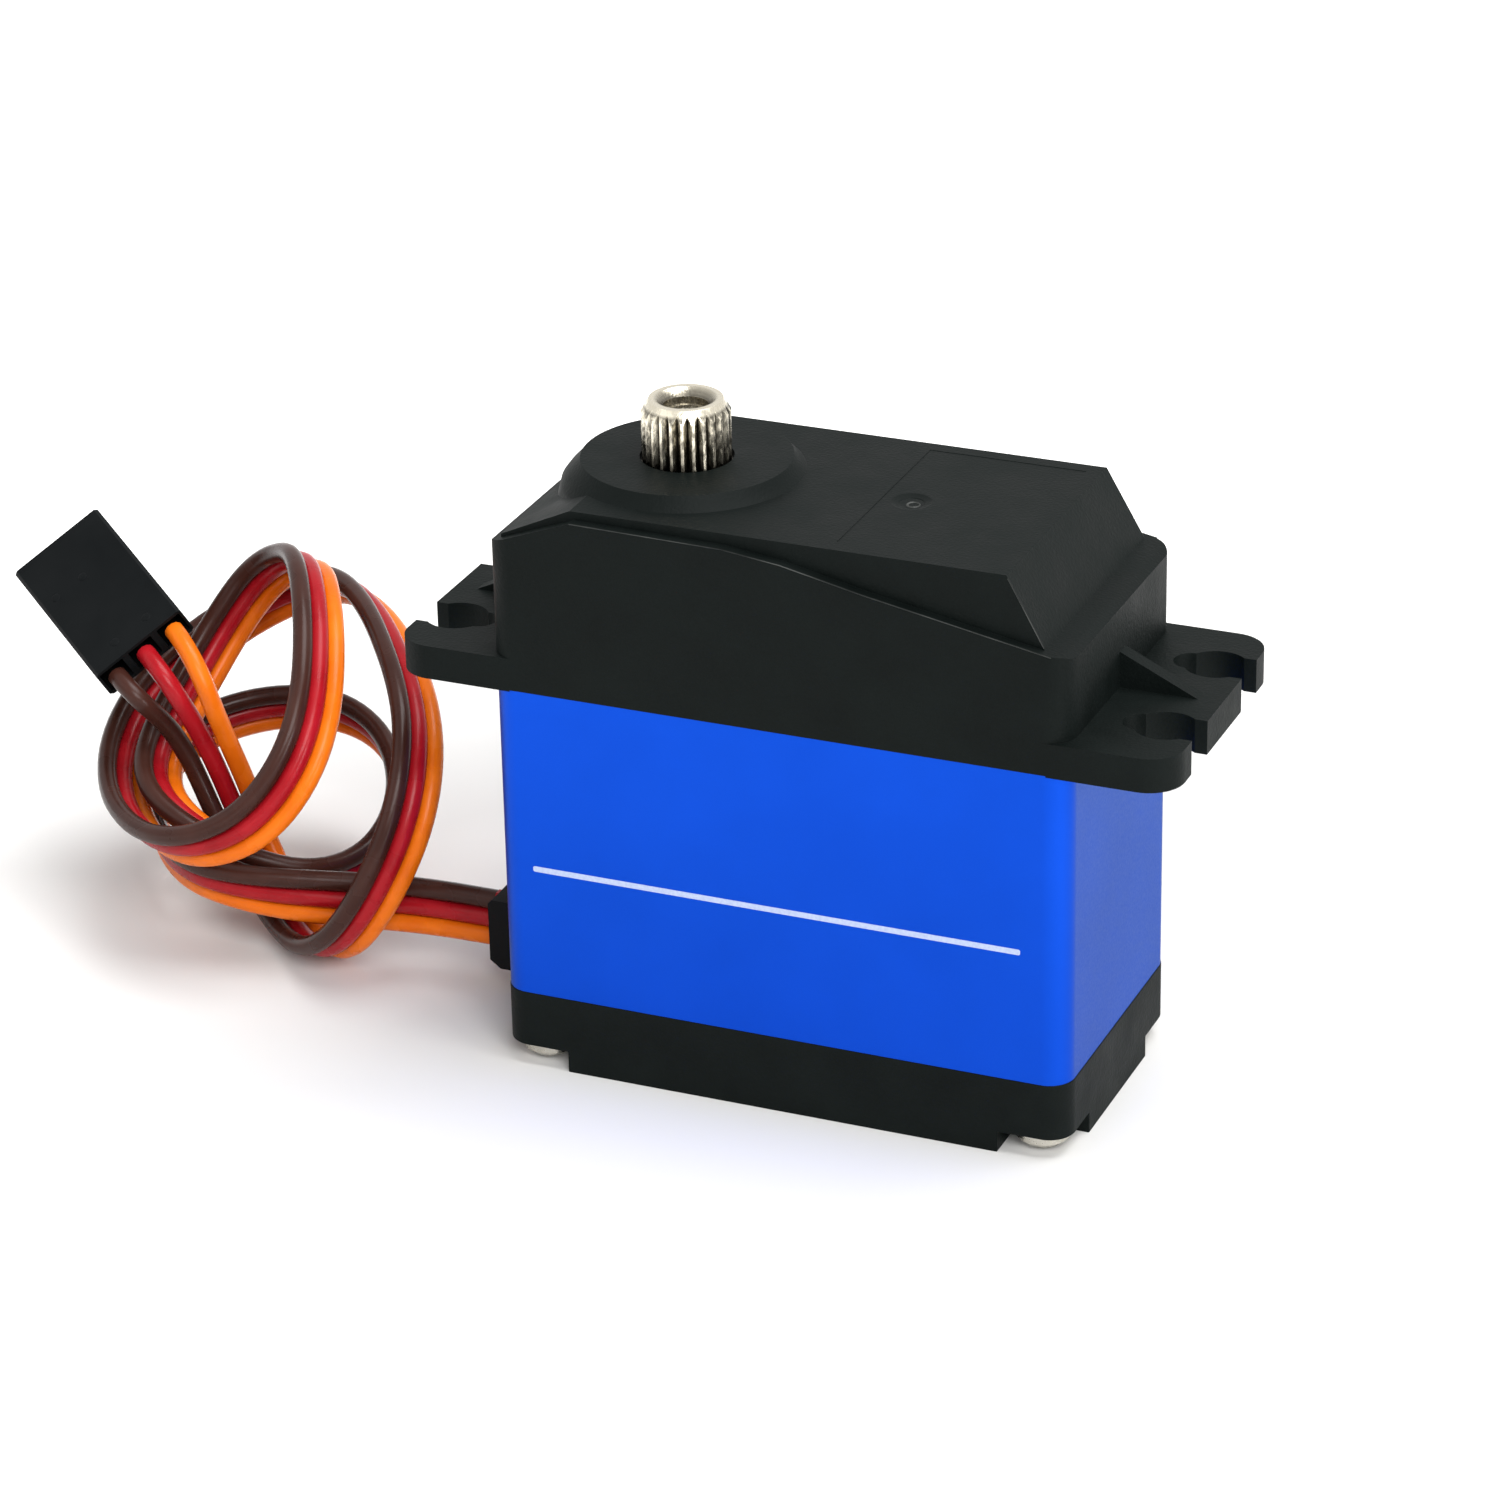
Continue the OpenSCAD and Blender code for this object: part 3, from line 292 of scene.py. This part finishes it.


# Painted light and shade in the steel's colour: painted highlights on the crests and the top rim, painted
# light in the bore, painted shade in the grooves and towards the foot, with noisy wear on the crests
splineSetup = {
    "middle": (10.0 * mm, 0, 0),
    "grooveShadeRadii": (2.64 * mm, 2.87 * mm),
    "topHeights": (45.0 * mm, 45.28 * mm),
    "footShadeTone": 0.18,
    "footShadeHeights": (41.6 * mm, 44.2 * mm),
    "coneRadii": (1.75 * mm, 2.15 * mm),
    "coneTone": 0.3,
    "rimHighlightTone": 0.9,
    "boreRadii": (1.35 * mm, 1.6 * mm),
    "boreLightTone": 0.7,
    "wearNoise": (3200, 4, (1, 1, 0.5)),
    "wearTones": (0.3, 1.0),
    "wearRange": (0.4, 0.56),
    "grainNoise": (5200, 3, (1, 1, 0.2)),
    "roughness": (0.36, 0.14),
    "bump": (0.6, 0.00004),
    "dark": (0.013, 0.01, 0.007),
    "light": (0.8, 0.74, 0.6),
}


def splineMetalPaintedLight(name, setup):
    material, tree, shader = makeTree(name)
    shader.inputs["Metallic"].default_value = 1.0
    grain = addNoise(tree, *setup["grainNoise"])
    place = tree.nodes.new("ShaderNodeTexCoord").outputs["Object"]
    around = addNode(tree, "ShaderNodeMapping", {"Location": setup["middle"], "Scale": (1, 1, 0)})
    length = addNode(tree, "ShaderNodeVectorMath", operation="LENGTH")
    split = tree.nodes.new("ShaderNodeSeparateXYZ")
    tree.links.new(place, around.inputs["Vector"])
    tree.links.new(around.outputs["Vector"], length.inputs[0])
    tree.links.new(place, split.inputs["Vector"])
    radius, height = length.outputs["Value"], split.outputs["Z"]
    # painted shade in the grooves, between the lit crests
    crest = addRange(tree, radius, 0.0, 1.0, *setup["grooveShadeRadii"])
    # painted shade, darker towards the foot
    footShade = addRange(tree, height, setup["footShadeTone"], 1.0, *setup["footShadeHeights"])
    wear = addRange(tree, addNoise(tree, *setup["wearNoise"]), *setup["wearTones"], *setup["wearRange"])
    # painted highlight on the top rim, less of it on the inner cone
    top = addRange(tree, height, 0.0, 1.0, *setup["topHeights"])
    cone = addRange(tree, radius, setup["coneTone"], setup["rimHighlightTone"], *setup["coneRadii"])
    # painted light in the bore
    boreLight = addRange(tree, radius, setup["boreLightTone"], 0.0, *setup["boreRadii"])
    # crests with their painted shade and their wear, then the painted rim highlight and the painted light in
    # the bore
    crestShadeAndWear = combine(tree, "MULTIPLY", combine(tree, "MULTIPLY", crest, footShade), wear)
    rim = combine(tree, "MULTIPLY", top, cone)
    paintedLightAndWear = combine(tree, "MAXIMUM", combine(tree, "MAXIMUM", crestShadeAndWear, rim), boreLight)
    addTint(tree, shader, paintedLightAndWear, setup["dark"], setup["light"], 0.0, 1.0)
    tree.links.new(addRange(tree, grain, *setup["roughness"]), shader.inputs["Roughness"])
    addBump(tree, shader, grain, *setup["bump"])
    return material


lacquerSetup = {"cloudScale": 900, "detail": 3, "bump": (0.1, 0.00003)}


def lacquered(name, dark, light, roughness=(0.2, 0.35)):
    material, tree, shader = makeTree(name)
    cloud = addNoise(tree, lacquerSetup["cloudScale"], lacquerSetup["detail"])
    addTint(tree, shader, cloud, dark, light)
    tree.links.new(addRange(tree, cloud, *roughness), shader.inputs["Roughness"])
    addBump(tree, shader, cloud, *lacquerSetup["bump"])
    return material


finishes = {
    "black_plastic": mouldedPlastic(
        "blackHousing", (0.0022, 0.0038, 0.0034), (0.0042, 0.0064, 0.0059), strength=0.55, depth=0.00005),
    # lighter, glossier plastic: the painted highlights on the edge bars, and the gate stub
    "worn_plastic": mouldedPlastic(
        "highlightAndStubPlastic", (0.007, 0.0085, 0.008), (0.07, 0.074, 0.07), (0.35, 0.5), gloss=0.2),
    "blue_aluminium": anodised("blueAnodised", anodisedSetup),
    "screw_steel": satinMetal("platedScrew", (0.46, 0.44, 0.38), (0.64, 0.61, 0.54), (0.18, 0.32)),
    # spline steel with painted light and shade in its colour
    "spline_steel": splineMetalPaintedLight("splineSteelPaintedLight", splineSetup),
    "gear_steel": satinMetal("gearSteel", (0.42, 0.41, 0.39), (0.62, 0.61, 0.58), (0.22, 0.4)),
    "bearing_steel": satinMetal("bearingSteel", (0.7, 0.7, 0.72), (0.84, 0.84, 0.85), (0.1, 0.2)),
    "motor_steel": satinMetal(
        "motorCan", (0.5, 0.51, 0.53), (0.66, 0.67, 0.69), (0.25, 0.4), (0.1, 0.1, 1)),
    "lamination_steel": satinMetal(
        "laminations", (0.2, 0.2, 0.21), (0.38, 0.38, 0.4), (0.35, 0.5), (0.05, 0.05, 3)),
    "magnet": mouldedPlastic("magnet", (0.02, 0.02, 0.022), (0.05, 0.05, 0.052), (0.4, 0.6)),
    "copper": satinMetal(
        "copper", (0.55, 0.2, 0.09), (0.78, 0.36, 0.18), (0.2, 0.35), (0.2, 0.2, 4), 3000, 0.5, 0.00004),
    "brass": satinMetal("brass", (0.68, 0.47, 0.18), (0.85, 0.66, 0.32), (0.2, 0.34)),
    "carbon": mouldedPlastic("carbonBrush", (0.02, 0.018, 0.016), (0.04, 0.036, 0.03), (0.5, 0.7)),
    "grey_nylon": mouldedPlastic("greyNylon", (0.06, 0.06, 0.065), (0.09, 0.09, 0.095), (0.35, 0.5)),
    "sensor_plastic": lacquered("sensorShell", (0.012, 0.03, 0.09), (0.02, 0.05, 0.13)),
    "board_green": lacquered("boardLacquer", (0.008, 0.07, 0.03), (0.016, 0.12, 0.05)),
    "chip_black": mouldedPlastic("chipShell", (0.012, 0.012, 0.013), (0.02, 0.02, 0.021), (0.45, 0.6)),
    "capacitor_yellow": lacquered("capacitorDip", (0.6, 0.33, 0.04), (0.78, 0.48, 0.08)),
    "boot_rubber": mouldedPlastic(
        "bootRubber", (0.004, 0.004, 0.0045), (0.007, 0.007, 0.0075), (0.55, 0.7), 5000, 0.3, 0.00003),
    "lead_brown": wireSheath("brownSheath", (0.038, 0.012, 0.008), (0.052, 0.018, 0.0125)),
    "lead_red": wireSheath("redSheath", (0.32, 0.005, 0.01), (0.42, 0.01, 0.017)),
    "lead_orange": wireSheath("orangeSheath", (0.74, 0.14, 0.004), (0.88, 0.19, 0.008)),
    "plug_black": mouldedPlastic(
        "plugShell", (0.0035, 0.0045, 0.005), (0.006, 0.007, 0.0075), (0.45, 0.55), 7000, 0.2, 0.00001, 0.06),
}

nodeSlots = {part["node"]: part["material_slot"] for part in frame["record"]["subparts"]}
for nodeName, node in nodes.items():
    node.data.materials.clear()
    node.data.materials.append(finishes[nodeSlots[nodeName]])
print("finishes ready")

leadSetup = {
    "wire": 1.4 * mm,
    "plugPitch": 2.54 * mm,
    "bootFace": (-25.1 * mm, 0.0, 5.0 * mm),
    "step": 6.8 * mm,
    "lean": (0.35, 0.55, -0.75),
    "splitSpans": 3,
    "pointsPerSpan": 8,
    "roundness": 4,
    "plugAt": (-53.2 * mm, 2.8 * mm, 19.5 * mm),
    "plugHeading": 145.8,
    "plugRise": 16,
    "plugRoll": 147,
}

# X, Y and Z in metres, and the tilt of the flat lead about its run in degrees
leadMiddle = [
    (-0.0395, -0.003, 0.0055, 20), (-0.0455, -0.004, 0.006, 10), (-0.05, -0.001, 0.0055, 20),
    (-0.0545, 0.004, 0.006, 25), (-0.0565, 0.0095, 0.0085, 20), (-0.052, 0.0145, 0.0105, 5),
    (-0.045, 0.0165, 0.011, -10), (-0.0395, 0.0145, 0.009, -20), (-0.0365, 0.0085, 0.006, -25),
    (-0.038, 0.002, 0.004, -25), (-0.0435, -0.0015, 0.007, -20), (-0.0505, -0.0015, 0.01, -15),
    (-0.0533, 0.003, 0.0115, -5), (-0.0523, 0.0095, 0.016, 0), (-0.0495, 0.013, 0.022, 5),
    (-0.045, 0.0115, 0.0247, 10), (-0.0417, 0.007, 0.0257, 15), (-0.0388, 0.002, 0.0233, 15),
    (-0.037, -0.003, 0.018, 10), (-0.04, -0.0065, 0.012, 10), (-0.046, -0.007, 0.0095, 0),
    (-0.0515, -0.0035, 0.009, -10), (-0.0555, 0.0015, 0.01, -15), (-0.057, 0.0075, 0.0125, -10),
    (-0.0545, 0.0135, 0.016, 0), (-0.0495, 0.0165, 0.019, 5), (-0.0445, 0.016, 0.0212, 0),
    (-0.0396, 0.012, 0.0213, 5), (-0.035, 0.0065, 0.0206, 15), (-0.031, 0.0015, 0.018, 15),
    (-0.03, -0.003, 0.0125, 10), (-0.033, -0.0055, 0.0055, -10), (-0.0375, -0.003, 0.001, -30),
    (-0.0425, 0.0015, 0.001, -40), (-0.047, 0.004, 0.006, -40), (-0.0485, 0.003, 0.0125, -60),
]

plugTurn = (
    Matrix.Rotation(math.radians(leadSetup["plugHeading"]), 3, "Z")
    @ Matrix.Rotation(math.radians(-leadSetup["plugRise"]), 3, "Y")
    @ Matrix.Rotation(math.radians(leadSetup["plugRoll"]), 3, "X")
)
plugPlace = Matrix.Translation(leadSetup["plugAt"]) @ plugTurn.to_4x4()
plugRun = plugTurn @ Vector((1, 0, 0))
plugSide = plugTurn @ Vector((0, 1, 0))
lean = Vector(leadSetup["lean"])


def across(vector, run):
    return (vector - vector.dot(run) * run).normalized()


def tiltOf(vector, run):
    first = across(lean, run)
    side = across(vector, run)
    return math.degrees(math.atan2(side.dot(run.cross(first)), side.dot(first)))


def buildRoute():
    start = Vector(leadSetup["bootFace"])
    away = Vector((-1, 0, 0))
    step = leadSetup["step"]
    startTilt = tiltOf(Vector((0, 0, -1)), away)
    endTilt = tiltOf(plugSide, plugRun)
    end = Vector(leadSetup["plugAt"])
    route = [(start + away * step * k, startTilt) for k in (-1, 0, 1)]
    route += [(Vector(point[:3]), point[3]) for point in leadMiddle]
    route += [(end + plugRun * step * k / 2, endTilt) for k in (-1, 0, 1)]
    return route


leadRoute = buildRoute()
leadSpans = len(leadRoute) - 3


# Where the lead's middle is, which way its wires lie beside it and how far apart they are.
# The route is a cubic B-spline and t counts its spans.
def leadFrame(t):
    k = min(int(t), leadSpans - 1)
    u = t - k
    weights = [
        (1 - u) ** 3 / 6, (3 * u ** 3 - 6 * u * u + 4) / 6,
        (-3 * u ** 3 + 3 * u * u + 3 * u + 1) / 6, u ** 3 / 6]
    slopes = [-(1 - u) ** 2 / 2, (3 * u * u - 4 * u) / 2, (-3 * u * u + 2 * u + 1) / 2, u * u / 2]
    near = leadRoute[k:k + 4]
    middle = sum((w * point[0] for w, point in zip(weights, near)), Vector())
    run = sum((w * point[0] for w, point in zip(slopes, near)), Vector()).normalized()
    tilt = math.radians(sum(w * point[1] for w, point in zip(weights, near)))
    first = across(lean, run)
    side = math.cos(tilt) * first + math.sin(tilt) * run.cross(first)
    split = max(0, (t - leadSpans + leadSetup["splitSpans"]) / leadSetup["splitSpans"])
    eased = split * split * (3 - 2 * split)
    spread = leadSetup["wire"] + (leadSetup["plugPitch"] - leadSetup["wire"]) * eased
    return middle, side, spread


leadSteps = leadSpans * leadSetup["pointsPerSpan"]
leadFrames = [leadFrame(k / leadSetup["pointsPerSpan"]) for k in range(leadSteps + 1)]


def makeWire(name, beside, finish):
    points = [middle + beside * spread * side for middle, side, spread in leadFrames]
    curve = bpy.data.curves.new(name, "CURVE")
    curve.dimensions = "3D"
    curve.bevel_depth = leadSetup["wire"] / 2
    curve.bevel_resolution = leadSetup["roundness"]
    curve.use_fill_caps = True
    spline = curve.splines.new("POLY")
    spline.points.add(len(points) - 1)
    for k, point in enumerate(points):
        spline.points[k].co = (*point, 1)
    spline.use_smooth = True
    wire = addObject(name, curve)
    curve.materials.append(finishes[finish])
    length = sum((b - a).length for a, b in zip(points, points[1:]))
    return wire, points[0], length


copySetup = {"mergeDistance": 1e-6, "flatAngle": 0.6, "normalWeight": 50}


def mergedCopy(nodeName, name):
    mesh = nodes[nodeName].data.copy()
    mesh.name = name
    bm = bmesh.new()
    bm.from_mesh(mesh)
    bmesh.ops.remove_doubles(bm, verts=bm.verts, dist=copySetup["mergeDistance"])
    return mesh, bm


def standFor(nodeName, mesh, bm, body):
    bm.to_mesh(mesh)
    bm.free()
    mesh.materials.clear()
    mesh.materials.append(finishes[nodeSlots[nodeName]])
    piece = addObject(mesh.name, mesh)
    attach(piece, body)
    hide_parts(nodeName)
    return piece


def roundedCopy(nodeName, edge, body):
    mesh, bm = mergedCopy(nodeName, nodeName + "_rounded")
    bmesh.ops.dissolve_limit(
        bm, angle_limit=math.radians(copySetup["flatAngle"]), verts=bm.verts, edges=bm.edges,
        use_dissolve_boundaries=False)
    for face in bm.faces:
        face.smooth = True
    piece = standFor(nodeName, mesh, bm, body)
    bevel = piece.modifiers.new("softEdges", "BEVEL")
    bevel.width = edge["width"]
    bevel.segments = edge["segments"]
    bevel.limit_method = "ANGLE"
    bevel.angle_limit = math.radians(edge["angle"])
    bevel.use_clamp_overlap = True
    bevel.miter_outer = "MITER_ARC"
    even = piece.modifiers.new("evenShading", "WEIGHTED_NORMAL")
    even.keep_sharp = False
    even.weight = copySetup["normalWeight"]
    return piece


caseEdges = {
    "top_case": {"width": 0.22 * mm, "segments": 3, "angle": 24},
    "mid_case": {"width": 0.15 * mm, "segments": 2, "angle": 24},
    "bottom_cover": {"width": 0.25 * mm, "segments": 3, "angle": 24},
    "strain_relief": {"width": 0.35 * mm, "segments": 3, "angle": 24},
    "plug_housing": {"width": 0.12 * mm, "segments": 2, "angle": 24},
}
shaftEdge = {"width": 0.05 * mm, "segments": 2, "angle": 20}
rounded = {nodeName: roundedCopy(nodeName, edge, "case") for nodeName, edge in caseEdges.items()}
roundedCopy("output_gear", shaftEdge, "output")
print("rounded case parts ready")

# The crimps start inside the plug, behind the ends of the sheaths
contactCut = {"depth": 2.4 * mm, "snap": 1e-7}
contactsMesh, bm = mergedCopy("plug_contacts", "contactsInside")
cut = bmesh.ops.bisect_plane(
    bm, geom=list(bm.verts) + list(bm.edges) + list(bm.faces), dist=contactCut["snap"],
    plane_co=Vector(leadSetup["plugAt"]) + plugRun * contactCut["depth"], plane_no=-plugRun, clear_outer=True)
cutEdges = [item for item in cut["geom_cut"] if isinstance(item, bmesh.types.BMEdge)]
bmesh.ops.holes_fill(bm, edges=cutEdges, sides=0)
bmesh.ops.recalc_face_normals(bm, faces=bm.faces)
contactsInside = standFor("plug_contacts", contactsMesh, bm, "case")
print("contacts ready")

for wireName, nodeName, beside, finish in (
    ("brownWire", "wire_ground", -1, "lead_brown"),
    ("redWire", "wire_power", 0, "lead_red"),
    ("orangeWire", "wire_signal", 1, "lead_orange"),
):
    wire, wireStart, wireLength = makeWire(wireName, beside, finish)
    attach(wire, "case")
    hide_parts(nodeName)
print("lead ready")


def keepPiece(name, bm, material, body):
    bmesh.ops.recalc_face_normals(bm, faces=bm.faces)
    mesh = bpy.data.meshes.new(name)
    bm.to_mesh(mesh)
    bm.free()
    mesh.materials.append(material)
    piece = addObject(name, mesh)
    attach(piece, body)


barSetup = {"corner": 0.3, "segments": 2}  # the corner's radius as a share of the width


# A thin bar between two points, on a surface that faces along up
def thinBar(start, end, width, proud, sunk, up):
    start, end, up = Vector(start), Vector(end), Vector(up)
    run = (end - start).normalized()
    side = up.cross(run)
    turn = Matrix((run, side, up)).transposed().to_4x4()
    middle = (start + end) / 2 + up * (proud - sunk) / 2
    bm = bmesh.new()
    bmesh.ops.create_cube(bm, size=1)
    bmesh.ops.scale(bm, vec=((end - start).length, width, proud + sunk), verts=bm.verts)
    bmesh.ops.bevel(
        bm, geom=[edge for edge in bm.edges if abs(edge.verts[0].co.z - edge.verts[1].co.z) > sunk / 2],
        offset=width * barSetup["corner"], offset_type="OFFSET", segments=barSetup["segments"],
        profile=0.5, affect="EDGES", material=-1)
    bmesh.ops.transform(bm, matrix=Matrix.Translation(middle) @ turn, verts=bm.verts)
    return bm


etchedLine = {
    "start": (-17.4 * mm, -10.15 * mm, 14.9 * mm),
    "end": (16.9 * mm, -10.15 * mm, 14.9 * mm),
    "width": 0.4 * mm,
    "proud": 0.015 * mm,
    "sunk": 0.05 * mm,
    "facing": (0, -1, 0),
    "metallic": 0.5,
    "grainNoise": (5000, 3),
    "roughness": (0.5, 0.65),
    "colours": ((0.42, 0.5, 0.72), (0.55, 0.62, 0.82)),
}
etched, etchedTree, etchedShader = makeTree("etchedMetal")
etchedShader.inputs["Metallic"].default_value = etchedLine["metallic"]
etchGrain = addNoise(etchedTree, *etchedLine["grainNoise"])
addTint(etchedTree, etchedShader, etchGrain, *etchedLine["colours"])
etchedTree.links.new(
    addRange(etchedTree, etchGrain, *etchedLine["roughness"]), etchedShader.inputs["Roughness"])
bm = thinBar(
    etchedLine["start"], etchedLine["end"], etchedLine["width"], etchedLine["proud"],
    etchedLine["sunk"], etchedLine["facing"])
keepPiece("etchedLine", bm, etched, "case")

# Where the mould's insert met the rest of the roof
seamSetup = {
    "roof": 40.7 * mm,
    "width": 0.09 * mm,
    "proud": 0.025 * mm,
    "sunk": 0.05 * mm,
    "acrossCase": ((3.76 * mm, -8.0 * mm), (3.76 * mm, 8.3 * mm)),
    "alongBack": ((3.76 * mm, 8.3 * mm), (14.6 * mm, 8.3 * mm)),
}
for seamName in ("acrossCase", "alongBack"):
    start, end = [(*corner, seamSetup["roof"]) for corner in seamSetup[seamName]]
    bm = thinBar(start, end, seamSetup["width"], seamSetup["proud"], seamSetup["sunk"], (0, 0, 1))
    keepPiece(seamName + "Seam", bm, finishes["black_plastic"], "case")

# Painted highlights along the edges: lighter, glossier thin bars on the corners of the sharp shape, where the
# edges catch the light; every value is in millimetres
edgeHighlights = {
    "skirt": (
        (-13.9, 10.2, 40.15), (-3.3, 10.2, 39.95), (0.7, 10.2, 39.45),
        (6.3, 10.2, 38.25), (18.9, 10.2, 35.9)),
    "skirtUp": (0.0, 0.7, 0.7),
    "roofEnd": ((15.75, 9.4, 40.5), (18.2, 9.52, 36.15)),
    "roofUp": (0.55, 0.65, 0.45),
    "inset": 0.012,
    "width": 0.055,
    "proud": 0.012,
    "sunk": 0.04,
}
for sideName, sign in (("front", -1), ("back", 1)):
    highlightNumber = 0
    for corners, upward in (("skirt", "skirtUp"), ("roofEnd", "roofUp")):
        up = Vector(edgeHighlights[upward]).normalized()
        up.y *= sign
        points = [
            (Vector((x, y * sign, z)) - up * edgeHighlights["inset"]) * mm for x, y, z in edgeHighlights[corners]]
        for start, end in zip(points, points[1:]):
            highlightNumber += 1
            # a thin bar of painted highlight along the edge
            bm = thinBar(
                start, end, edgeHighlights["width"] * mm, edgeHighlights["proud"] * mm, edgeHighlights["sunk"] * mm, up)
            keepPiece(
                "%sWear_%d" % (sideName, highlightNumber), bm, finishes["worn_plastic"], "case")

# The stub that is left in the dimple where the plastic was let into the mould
gateStub = {
    "place": (6.0 * mm, -0.5 * mm, 40.55 * mm),
    "low": 0.55 * mm,
    "high": 0.42 * mm,
    "height": 0.13 * mm,
    "sides": 18,
    "rim": 0.13 * mm,
    "hollow": (0.05 * mm, 0, -0.11 * mm),
}
bm = bmesh.new()
bmesh.ops.create_cone(
    bm, cap_ends=True, cap_tris=False, segments=gateStub["sides"], radius1=gateStub["low"],
    radius2=gateStub["high"], depth=gateStub["height"])
topFace = max(bm.faces, key=lambda face: face.calc_center_median().z)
bmesh.ops.inset_region(bm, faces=[topFace], thickness=gateStub["rim"])
bmesh.ops.translate(bm, vec=gateStub["hollow"], verts=topFace.verts)
bmesh.ops.translate(bm, vec=gateStub["place"], verts=bm.verts)
keepPiece("gateStub", bm, finishes["worn_plastic"], "case")

# The dimple's rounded wall, as radii and heights from the roof in millimetres
dimpleWall = {
    "middle": (5.8 * mm, -0.3 * mm, 40.7 * mm),
    "profile": (
        (1.4, 0.0), (1.3, -0.035), (1.15, -0.085), (0.97, -0.125),
        (0.8, -0.146), (0.8, -0.18), (1.44, -0.18), (1.44, -0.03)),
    "steps": 48,
}
bm = bmesh.new()
ring = [bm.verts.new((radius * mm, 0, height * mm)) for radius, height in dimpleWall["profile"]]
loop = [bm.edges.new((ring[k - 1], ring[k])) for k in range(len(ring))]
bmesh.ops.spin(
    bm, geom=loop + ring, cent=(0, 0, 0), axis=(0, 0, 1), angle=math.radians(360), steps=dimpleWall["steps"],
    use_merge=True)
for face in bm.faces:
    face.smooth = True
bmesh.ops.translate(bm, vec=dimpleWall["middle"], verts=bm.verts)
keepPiece("dimpleWall", bm, finishes["black_plastic"], "case")
print("marks on the case ready")

# The horn screw's thread, on the wall of the hole in the shaft
hornThread = {
    "axis": (-10.0 * mm, 0.0, 0.0),
    "top": 44.55 * mm,
    "turns": 8,
    "pitch": 0.5 * mm,
    "wall": 1.27 * mm,
    "crest": 1.08 * mm,
    "drops": (0.0, 0.42, 0.84),  # of the ridge's corners, in pitches
    "stepsPerTurn": 24,
}
steps = hornThread["turns"] * hornThread["stepsPerTurn"]
bm = bmesh.new()
radii = (hornThread["wall"], hornThread["crest"], hornThread["wall"])
corners = [
    bm.verts.new((hornThread["axis"][0] + radius, 0, hornThread["top"] - hornThread["pitch"] * drop))
    for radius, drop in zip(radii, hornThread["drops"])
]
firstFace = bm.faces.new(corners)
spun = bmesh.ops.spin(
    bm, geom=list(firstFace.edges) + corners, cent=hornThread["axis"], axis=(0, 0, 1),
    dvec=(0, 0, -hornThread["pitch"] / hornThread["stepsPerTurn"]),
    angle=math.radians(360) * hornThread["turns"], steps=steps, use_merge=False)
lastCorners = [item for item in spun["geom_last"] if isinstance(item, bmesh.types.BMVert)]
bm.faces.new(lastCorners)
for face in bm.faces:
    face.smooth = len(face.verts) == 4
keepPiece("hornThread", bm, finishes["gear_steel"], "output")
print("horn thread ready")

# Round marks that the mould's pins left on the plug
pinMarks = {
    "places": ((8.3 * mm, -0.1 * mm), (8.3 * mm, -2.5 * mm), (1.4 * mm, 1.6 * mm), (1.4 * mm, -1.2 * mm)),
    "radius": 0.34 * mm,
    "height": 0.06 * mm,
    "face": -1.3 * mm,
    "segments": (20, 10),
}
for k, (along, sideways) in enumerate(pinMarks["places"]):
    bm = bmesh.new()
    turns, rows = pinMarks["segments"]
    bmesh.ops.create_uvsphere(bm, u_segments=turns, v_segments=rows, radius=pinMarks["radius"])
    bmesh.ops.scale(bm, vec=(1, 1, pinMarks["height"] / pinMarks["radius"]), verts=bm.verts)
    for face in bm.faces:
        face.smooth = True
    bmesh.ops.translate(bm, vec=(along, sideways, pinMarks["face"]), verts=bm.verts)
    bmesh.ops.transform(bm, matrix=plugPlace, verts=bm.verts)
    keepPiece("plugMark_%d" % (k + 1), bm, finishes["plug_black"], "case")
print("plug marks ready")
